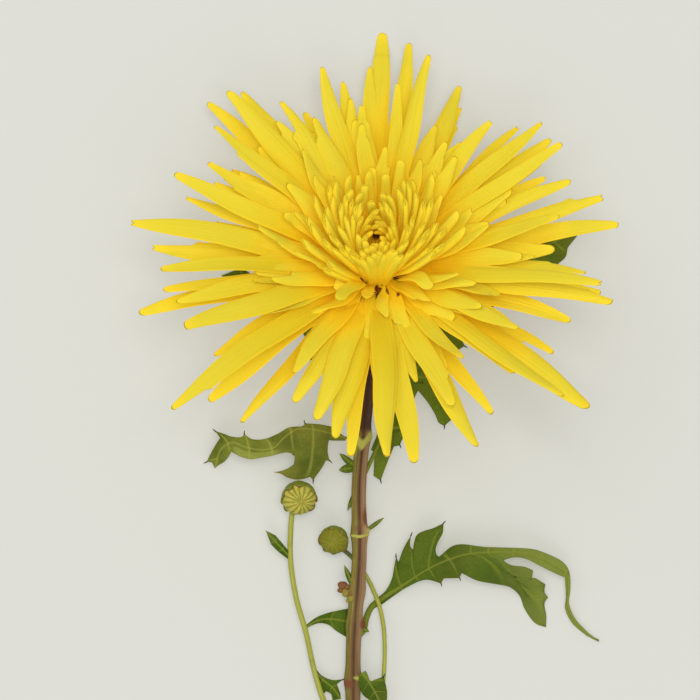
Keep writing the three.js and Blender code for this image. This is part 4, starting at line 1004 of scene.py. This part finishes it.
leaves = {
    # curled leaf on the left, its near lobe hanging
    "leaf_left": dict(
        midrib=[[-8.6, -46.3, 6], [-13, -45, 8], [-18, -43.9, 9.6], [-22.5, -43.9, 10.4],
                [-26, -46.3, 10.2], [-28.8, -49, 9.4], [-33, -49.6, 8.6], [-37, -48.8, 8.2],
                [-40.5, -47.6, 7.4], [-43.6, -49.5, 5.6], [-45.4, -54.8, 2.6]],
        sides=[
            [[-12.3, -43.2, 0.1], [-15.9, -42.5, 0.17], [-20.1, -42.2, 0.26], [-20.6, -42.9, 0.275],
             [-24.4, -43.3, 0.36], [-27.9, -45.2, 0.45], [-31.5, -46.6, 0.53], [-35, -46.6, 0.62],
             [-37.1, -45.2, 0.66], [-37.8, -46, 0.68], [-40.7, -45.9, 0.74], [-43.3, -45, 0.78],
             [-45.3, -44.4, 0.8], [-43.9, -46.3, 0.83], [-45.3, -48.5, 0.87], [-46.7, -51, 0.9],
             [-47.7, -53.1, 0.93], [-46.2, -53.2, 0.95]],
            [[-8.8, -47.1, 0.02], [-13.2, -47, 0.08], [-14.4, -46.6, 0.1], [-13.8, -48.6, 0.12],
             [-13.7, -50.6, 0.135], [-13.2, -52.7, 0.15], [-14.3, -52.7, 0.158], [-14.9, -54, 0.167],
             [-16, -55.7, 0.18], [-17, -57, 0.19], [-17.8, -58.3, 0.2], [-18.6, -57.2, 0.207],
             [-20.4, -57.8, 0.218], [-22.8, -58, 0.235], [-25.3, -57.3, 0.248], [-26.8, -56.4, 0.258],
             [-29, -55.9, 0.27], [-26.6, -56, 0.285], [-25, -55.6, 0.3], [-23.5, -54.3, 0.32],
             [-22.8, -52.4, 0.36], [-23.3, -50.9, 0.4], [-24.9, -50.4, 0.44], [-27, -50.7, 0.48],
             [-29.7, -51.4, 0.53], [-32.5, -51.9, 0.59], [-35.3, -52.3, 0.65], [-37.8, -51.7, 0.71],
             [-39.5, -50.9, 0.75], [-40.7, -50.2, 0.79], [-41.4, -51.4, 0.83], [-42.7, -53, 0.88],
             [-44.2, -53.9, 0.92]],
        ],
        way=[-1.0, 0.0], bends=[[[0, 0.4, 0.7]], [[0.28, 0.0, 0.95], [0.33, 0.4, 0.85], [0.36, 0.2, 0.5]]],
        falls=[0.2, 0.3], rolled=[0.4, 0.52, 0.74, 0.82], quilt=0.1, stalk=0.4,
        veins=[0, 0.1, 0.22, 0.36, 0.52, 0.66, 0.8, 0.93, 1], foot=[[-4.4, -46.4, 5.0]], kind="aged",
    ),
    # large leaf on the right: two lobes above its midrib, a long drooping one below, and a twisted tip
    "leaf_right": dict(
        midrib=[[-3.8, -100.4, 3.4], [-2.8, -96.5, 1.5], [-1.2, -93.4, 0.9], [1.5, -91.4, 1.1],
                [7.5, -87.5, 3.4], [13.7, -83.4, 6], [18.8, -80.9, 7.4], [25, -78.9, 8.2],
                [30.6, -78.4, 8.4], [38.3, -78.4, 8], [43.5, -79.2, 7.4], [48.6, -81.6, 6.2],
                [53, -84.6, 5], [53.6, -89, 3.8], [53.3, -93, 2.8], [55.2, -97.4, 1.8], [59, -101.4, 1],
                [62.3, -103.3, 0.6]],
        sides=[
            [[-3.2, -95.6, 0.05], [-1.6, -92.8, 0.09], [2.4, -89.3, 0.15], [4.2, -86, 0.17],
             [4.9, -82.4, 0.185], [5.4, -79.6, 0.195], [6.1, -81.1, 0.205], [7.5, -77.3, 0.215],
             [9.6, -73.6, 0.225], [9.4, -76.6, 0.24], [10.1, -77.6, 0.25], [11.1, -73.7, 0.262],
             [12.6, -72.6, 0.272], [15.7, -71.6, 0.285], [18.7, -70.2, 0.3], [18.4, -73.2, 0.315],
             [16.7, -75.7, 0.33], [16.2, -78.6, 0.345], [17.3, -79.7, 0.36], [21.9, -76.3, 0.4],
             [30.6, -76.8, 0.48], [43.5, -77.4, 0.63], [46.1, -78.1, 0.66], [52.2, -81.1, 0.735],
             [53.9, -83.6, 0.765], [54.3, -89, 0.8], [53.9, -92.5, 0.84], [55.6, -96.9, 0.896],
             [59.2, -100.9, 0.957]],
            [[-2.2, -96.9, 0.05], [-0.6, -94.1, 0.09], [0.8, -93.5, 0.115], [4.9, -90.6, 0.165],
             [8.5, -88.2, 0.21], [13.7, -86.1, 0.27], [18, -87.1, 0.31], [18.8, -85.7, 0.325],
             [23.2, -85.6, 0.37], [23.8, -84.2, 0.385], [28.1, -86.3, 0.41], [33.2, -87.3, 0.43],
             [37.3, -88.2, 0.445], [40.1, -90.7, 0.455], [41.4, -94.2, 0.465], [44.5, -98.4, 0.472],
             [47.5, -99.5, 0.48], [47.6, -96.3, 0.486], [47.1, -92.7, 0.492], [48.1, -91.1, 0.497],
             [47.1, -89.6, 0.502], [47.3, -87.4, 0.508], [44.5, -85.6, 0.513], [43.5, -86.2, 0.517],
             [43.8, -83.4, 0.522], [41.4, -82.4, 0.526], [36.3, -81.7, 0.532], [35.3, -80.6, 0.537],
             [38.3, -79.8, 0.57], [41.4, -80.1, 0.6], [46.1, -82.4, 0.67], [50, -84.3, 0.71],
             [52.7, -85.5, 0.745], [53, -91.1, 0.82], [52.8, -94.2, 0.86], [54.8, -98.3, 0.91],
             [58.9, -101.9, 0.957]],
        ],
        bends=[[[0, 0.4, 0.7]], [[0.47, 0.8, 0.2], [0.5, 0.4, 0.8], [0.522, 0.1, 1.05], [0.545, 0.3, 0.9]]],
        falls=[0.1, 0.42], rows=220, stalk=0.9, bare=[0.505, 0.62],
        veins=[0, 0.1, 0.195, 0.25, 0.3, 0.37, 0.44, 0.49, 0.57, 0.66, 0.745, 0.84, 0.92, 1],
        foot=[[-5, -101.6, 3.8]], stipules=[[[-4.6, -99.4, 4.2], [-2.1, -100.7, 3.8], 0.7]],
    ),
    # two leaves on the surface, partly under the bloom
    "leaf_under_left": dict(
        midrib=[[-5.8, -37, 3], [-9, -29, 2], [-15.5, -19, 1.2], [-24, -10.4, 0.4], [-33, -5, 0.4],
                [-43.5, -0.8, 0.4]],
        sides=[
            [[-7.2, -41], [-7.4, -36], [-10.4, -34.6], [-11.6, -28.6], [-14.6, -24.6], [-19.4, -24.4],
             [-19.6, -19.6], [-21.4, -15.6], [-27, -16.4], [-28, -12.2], [-30.4, -9], [-35.4, -10.2],
             [-36.4, -7], [-40.4, -4.6]],
            [[-4.4, -36], [-5.4, -28.6], [-4.4, -22], [-8.4, -19.4], [-10, -14.6], [-8.6, -9.4],
             [-14.4, -10.4], [-17.4, -8], [-18.8, -2.4], [-23.6, -5.4], [-28.6, 0.4], [-32.6, -1.4],
             [-38, 1.4]],
        ],
        falls=[0.02, 0.02], veins=np.linspace(0, 1, 10), foot=[[-4, -42.6, 4.4]], kind="lightenedUnderBloom",
    ),
    "leaf_under_right": dict(
        midrib=[[-0.6, -50.6, 2.2], [4, -41, 1.2], [10.6, -28, 1], [20, -13.6, 0.4], [32, -1.6, 0.4],
                [44.6, 6.2, 0.4], [57.4, 11.8, 0.4]],
        sides=[
            [[-1.6, -49.6], [0.4, -44], [-0.6, -38], [0.6, -32], [5, -31], [4.6, -25.4], [2.6, -19.4],
             [7.6, -19.6], [11.4, -17.8], [9.6, -10], [12.4, -4.6], [17.6, -8], [19.4, 0.6], [21.6, 7.4],
             [26.4, 0.8], [31.8, 3.4], [34, 10.6], [38.6, 6.6], [44, 12.4], [51, 13]],
            [[-0.9, -57], [1.1, -58.3], [2.8, -53.7], [5.1, -48.1], [6.5, -48.4], [8.1, -44.4], [9.5, -39],
             [11, -34.2], [13.4, -30.6], [15.8, -33], [16.6, -36.5], [17.2, -41.9], [19, -43],
             [21.7, -40.6], [20.5, -35.5], [20.6, -30], [19.4, -24], [24.6, -20.6], [23.8, -17],
             [27.2, -12.6], [33.6, -9], [36, -5.2], [43, -4.6], [44.4, -1.6], [48.5, 0.5], [51.3, 2.8],
             [53, 4.4], [53.6, 7]],
        ],
        falls=[0.02, 0.02], veins=np.linspace(0, 1, 12), foot=[[-3.6, -57, 3.4]], kind="lightenedUnderBloom",
    ),
    # short leaf at the lowest node that has one, on the near side
    "leaf_low": dict(
        midrib=[[-3.9, -112, 5.6], [-1.4, -116, 5.6], [0.4, -119.4, 5.2], [1.4, -123.4, 4.4]],
        sides=[
            [[-3.4, -112], [-2.4, -113.8], [-1.1, -114.7], [0.7, -114.4], [1.9, -113.3], [2.3, -114.6],
             [2.9, -117.6], [2.7, -121.4]],
            [[-5, -112.6], [-5.2, -114.6], [-4.5, -117.3], [-3.4, -118.8], [-1.8, -120], [-0.4, -122.4]],
        ],
        falls=[0.05, 0.1], veins=np.linspace(0, 1, 5), stalk=0.9,
    ),
}
leafSkins = {kind: leafFinish("leaf " + kind, *blades[kind]) for kind in ("aged", "fresh", "lightenedUnderBloom")}
for name, f in leaves.items():
    shapes = leafShapes(f) + [bractShape(*s) for s in f.get("stipules", [])]
    addPiece(name + "_blade", shapes, [name], [leafSkins[f.get("kind", "fresh")]])
print("leaves made")

# Bracts at the nodes: foot, tip and half width of each

bracts = {
    "bract_pair": [[[-5.6, -54.8, 4.8], [-10.4, -50.7, 5.4], 1],
                   [[-5.6, -54.4, 4.6], [-10.6, -55.4, 4.4], 1.3]],
    "bract_left": [[[-5.8, -61, 4.4], [-8.2, -66.8, 4], 0.7]],
    "bract_right": [[[-3, -72.4, 4.8], [2.1, -68.6, 5.8], 0.6]],
    "bract_stub": [[[-6.6, -88, 5], [-9.1, -82, 5.8], 0.8]],
}
for name, group in bracts.items():
    addPiece(name + "_blades", [bractShape(*b) for b in group], [name], [leafSkins["fresh"]])

# Stub of a side bud that was rubbed out: a heap of small knobs, brown at its end and olive towards the stem
# fact: how brown the knob is

stub = dict(
    # each knob: middle, radii across and along, and how brown it is
    knobs=[
        [[-9.6, -87.6, 5.2], 1.35, 1.15, 0.9], [[-8.6, -89.6, 5.2], 1.2, 1.3, 0.3],
        [[-10.1, -89, 4.9], 0.9, 0.8, 0.7], [[-7.2, -91.2, 5.4], 1.2, 1.2, 0.0],
        [[-8.3, -88, 5.7], 0.9, 0.8, 0.8], [[-7.9, -91.9, 4.9], 0.8, 0.8, 0.1],
        [[-6.9, -89.6, 5.0], 1.3, 1.3, 0.2],
    ],
    flattening=0.9, brown=srgb(122, 80, 44), olive=srgb(142, 132, 54),
)


def knobShape(k, middle, across, along, brown, rows=16, around=20):
    # a globe whose radius swells and sinks as two waves: one round it and one from pole to pole
    latitude = np.linspace(-80, 80, rows)[:, None] * degree
    angle = 2 * np.pi * np.arange(around)[None] / around
    size = 1 + 0.07 * np.sin(3 * angle + 2 * k) * np.cos(latitude) + 0.05 * np.sin(4 * latitude + k)
    x = across * size * np.cos(latitude) * np.cos(angle)
    y = along * size * np.cos(latitude) * np.sin(angle)
    z = stub["flattening"] * across * size * np.sin(latitude)
    points = np.array(middle) + together(x, y, z)
    return tube(points, np.broadcast_to([brown, 0.0, 0.0], points.shape))


def stubFinish():
    p = Finish("stub brown")
    brown = p.facts()[0]
    speck = p.noise(p.place(600), 3)
    colour = p.mix(stub["olive"], stub["brown"], (brown * 0.8 + speck).step(0.6, 1.2))
    return p.shade(colour, 0.7, p.bump(speck, 0.0006, 1.0), Specular_IOR_Level=0.25)


knobs = [knobShape(k, *knob) for k, knob in enumerate(stub["knobs"])]
addPiece("side_bud_scar", knobs, ["side_bud_stub"], [stubFinish()])

# Side shoots with their small leaves
# facts on the stalk: angle round it; place along it, 0 to 10; 1 where its end is dark

shoots = dict(
    green=srgb(148, 154, 48), pale=srgb(176, 176, 78), brown=srgb(124, 112, 46), dark=srgb(84, 92, 30),
    rows=160, around=20, ribs=5, ribDepth=0.05, footGirth=1.3,
    left=dict(
        radius=0.75,
        path=[[-6.8, -131, 3.2], [-11, -127, 3.2], [-14.6, -120.6, 3.4], [-17.4, -112, 3.4],
              [-19.8, -101, 3.6], [-22.6, -91, 3.8], [-24.2, -80, 4], [-24.1, -72, 3.8], [-23.6, -66, 3]],
    ),
    right=dict(
        radius=0.6, dark=1.0,
        path=[[-6.4, -129, 3.2], [-2.4, -125, 3.2], [1, -118.6, 3.4], [2.2, -109, 3.6], [2, -100, 3.6],
              [0.9, -94, 3.8], [-0.8, -89.4, 2], [-3.4, -84.4, 0.8], [-7, -79.8, 0.9], [-10.2, -77, 1.8]],
    ),
)
shootLeaves = [
    dict(
        midrib=[[-24.2, -79.8, 4], [-27.3, -76.6, 4.8], [-31.1, -72.3, 5.2]],
        sides=[
            [[-24.2, -78.6], [-26, -76.4], [-28.4, -73.6]],
            [[-24.8, -80.4], [-27.6, -78.2], [-29.6, -76.2]],
        ],
        falls=[0, 0], veins=[0, 0.3, 0.6, 1], stalk=0.35, rows=40,
    ),
    dict(
        midrib=[[-20, -99.6, 3.6], [-17.6, -98, 2.8], [-15, -97.2, 1.8], [-11.5, -97.3, 1],
                [-7.9, -98, 0.7]],
        sides=[
            [[-20, -98.9], [-17, -96.7], [-14, -95.5], [-11, -94.8], [-8, -94.2]],
            [[-20, -100], [-18.4, -99], [-16, -98.3], [-13.5, -98.8], [-11.5, -100.4], [-8.6, -102.2]],
        ],
        falls=[0, 0.05], veins=[0, 0.3, 0.6, 1], stalk=0.35, rows=60,
    ),
    dict(
        midrib=[[-17.4, -111.6, 3.4], [-14.8, -114.4, 2.8], [-12.4, -116.4, 2], [-10, -119.6, 1.2]],
        sides=[
            [[-16.9, -111.2], [-15.5, -112.9], [-13, -114.1], [-11, -114.3], [-9.4, -114.1],
             [-11.2, -115.4], [-10.2, -118]],
            [[-17.6, -113], [-16.8, -116], [-15.4, -118.8], [-14.2, -117.4], [-12.8, -118.2],
             [-12.4, -120]],
        ],
        falls=[0.1, 0.1], veins=[0, 0.3, 0.6, 1], stalk=0.35, rows=60,
    ),
]


def shootShape(f):
    path = curveThrough(f["path"], shoots["rows"])
    t = np.linspace(0, 1, shoots["rows"])[:, None]
    angle = 2 * np.pi * np.arange(shoots["around"])[None] / shoots["around"]
    radius = f["radius"] * mix(shoots["footGirth"], 1, smooth(0, 0.3, t))
    radius = radius * (1 + shoots["ribDepth"] * np.cos(shoots["ribs"] * angle))
    facts = together(angle / (2 * np.pi), 10 * t, f.get("dark", 0.0))
    return tube(sweep(path, radius, shoots["around"]), facts)


def shootFinish():
    p = Finish("shoot green")
    angle, along, dark = p.facts()
    streak = p.noise(p.vector(angle * 24, along * 0.8, 0.0), 3)
    colour = p.mix(shoots["green"], shoots["pale"], streak.step(0.4, 0.75))
    colour = p.mix(colour, shoots["brown"], p.noise(p.place(200), 2).step(0.5, 0.8) * 0.6)
    colour = p.mix(colour, shoots["dark"], along.step(9.0, 9.5) * dark)
    return p.shade(colour, 0.5, p.bump(streak, 0.0001, 0.5), Subsurface_Weight=0.1, Subsurface_Scale=0.0008)


shootSkin = shootFinish()
leavesOfShoot = [dict(s, skin=1) for f in shootLeaves for s in leafShapes(f)]
addPiece("shoot_left_stalk", [shootShape(shoots["left"])] + leavesOfShoot, ["shoot_left"],
         [shootSkin, leafSkins["fresh"]])
addPiece("shoot_right_stalk", [shootShape(shoots["right"])], ["shoot_right"], [shootSkin])

# Buds: a flattened globe, ridged by its folded florets above, in a cup of round bracts below
# facts: height on a floret's ridge; latitude as a share of 90 degrees; 1 in the cup, 0 above it

buds = dict(
    left=dict(centre=[-21.8, -63.1, 6.2], radius=4.7, apex=[0.2, -0.3, 1], florets=15, olive=0.1,
              contrast=0.65),
    right=dict(centre=[-12, -74.9, 5.2], radius=3.9, apex=[-0.15, -0.15, 1], florets=13, olive=0.72,
               contrast=0.3),
    bracts=8, bractHeight=22, cupTilt=24, ridgeHeight=0.085, flattening=0.86, rows=72, perFloret=12,
    ridge=srgb(192, 182, 84), groove=srgb(126, 124, 38), bract=srgb(112, 130, 42), rim=srgb(104, 78, 38),
)


def budShape(f):
    # The cup's rim is a latitude that rises over each bract and on one side. Above it, each floret is a ridge
    # that bends as it climbs; just below it, each bract bulges.
    count = f["florets"] * buds["perFloret"]
    bearing = 2 * np.pi * np.arange(count)[None] / count
    latitude = np.linspace(-84, 84, buds["rows"])[:, None]
    arch = np.abs(np.cos(buds["bracts"] * (bearing + 0.12 * np.sin(3 * bearing)) / 2)) ** 0.6
    rim = -2 + buds["bractHeight"] * arch + buds["cupTilt"] * np.sin(bearing + 0.2) + 4 * np.cos(2 * bearing)
    above = latitude - rim
    inCup = smooth(2.5, -2.5, above)
    bent = bearing + 0.1 * np.sin(2 * bearing + 1) * smooth(0, 60, latitude)
    petal = np.abs(np.sin(f["florets"] * bent / 2)) ** 0.7
    ridge = (petal - 0.55) * buds["ridgeHeight"] * smooth(-4, 24, latitude) * (1 - inCup)
    bulge = bell(above + 7, 7) * arch
    size = f["radius"] * (1 + ridge + 0.05 * inCup * (0.2 + 0.8 * arch) + 0.11 * bulge)
    folds = 0.03 * smooth(30, 60, latitude) * np.sin(5 * bearing)
    size = size * (1 - 0.06 * smooth(60, 84, latitude) - folds)
    axis = unit(np.array(f["apex"], float))
    side = unit(np.cross([0, 1, 0], axis))
    flat = size * np.cos(latitude * degree)
    high = size * np.sin(latitude * degree) * buds["flattening"]
    points = np.array(f["centre"]) + side * (flat * np.cos(bearing))[..., None]
    points = points + np.cross(axis, side) * (flat * np.sin(bearing))[..., None] + axis * high[..., None]
    facts = together(petal * f["contrast"] - f["olive"], latitude / 90, smooth(8, -8, above))
    return tube(points, facts)


def budFinish():
    p = Finish("bud ridged")
    petal, latitude, inCup = p.facts()
    speck = p.noise(p.place(500), 3)
    colour = p.mix(buds["groove"], buds["ridge"], (petal + speck * 0.8).step(0.2, 1.1))
    colour = p.mix(colour, buds["ridge"], latitude.step(0.7, 0.95) * 0.3)
    colour = p.mix(colour, buds["bract"], (speck * 0.8).step(0.4, 0.55) * 0.5)
    colour = p.mix(colour, buds["bract"], inCup.step(0.35, 0.65) * 0.9)
    colour = p.mix(colour, buds["rim"], inCup.bell(0.6, 0.24) * speck.step(0.3, 0.55))
    return p.shade(colour, 0.55, p.bump(speck, 0.0002, 0.5), Specular_IOR_Level=0.1)


budSkin = budFinish()
for side in ("left", "right"):
    addPiece("bud_" + side + "_florets", [budShape(buds[side])], ["bud_" + side], [budSkin])
print("shoots and buds made")

# Floor and light

stage = dict(floor=srgb(171, 172, 168), glow=(0.99, 1.0, 0.93, 1), glowStrength=0.25, half=3.0,
             air=(1.0, 0.985, 0.95, 1), airStrength=0.5)
half = stage["half"]
floorMesh = bpy.data.meshes.new("floor")
floorMesh.from_pydata([(-half, -half, 0), (half, -half, 0), (half, half, 0), (-half, half, 0)], [],
                      [(0, 1, 2, 3)])
floor = bpy.data.objects.new("floor", floorMesh)
bpy.context.scene.collection.objects.link(floor)
paper = Finish("pale floor")
floorMesh.materials.append(paper.shade(stage["floor"], 0.9, Emission_Color=stage["glow"],
                                       Emission_Strength=stage["glowStrength"]))

lamps = dict(
    top=dict(place=(0.1, 0.25, 2.2), power=22.0, size=0.9, colour=(1.0, 0.98, 0.95)),
    window=dict(place=(-0.9, 0.8, 1.3), power=5.0, size=1.0, colour=(1.0, 0.97, 0.92)),
    front=dict(place=(0.1, -1.0, 1.5), power=6.0, size=1.0, colour=(1.0, 0.98, 0.95)),
)
for name, lamp in lamps.items():
    data = bpy.data.lights.new(name, "AREA")
    data.energy, data.size, data.color = lamp["power"], lamp["size"], lamp["colour"]
    light = bpy.data.objects.new(name, data)
    bpy.context.scene.collection.objects.link(light)
    light.location = lamp["place"]
    light.rotation_euler = (-Vector(lamp["place"])).to_track_quat("-Z", "Y").to_euler()
world = bpy.data.worlds.new("studio")
world.use_nodes = True
air = world.node_tree.nodes["Background"].inputs
air["Color"].default_value, air["Strength"].default_value = stage["air"], stage["airStrength"]
bpy.context.scene.world = world
bpy.context.scene.view_settings.view_transform = "Standard"
print("light set")
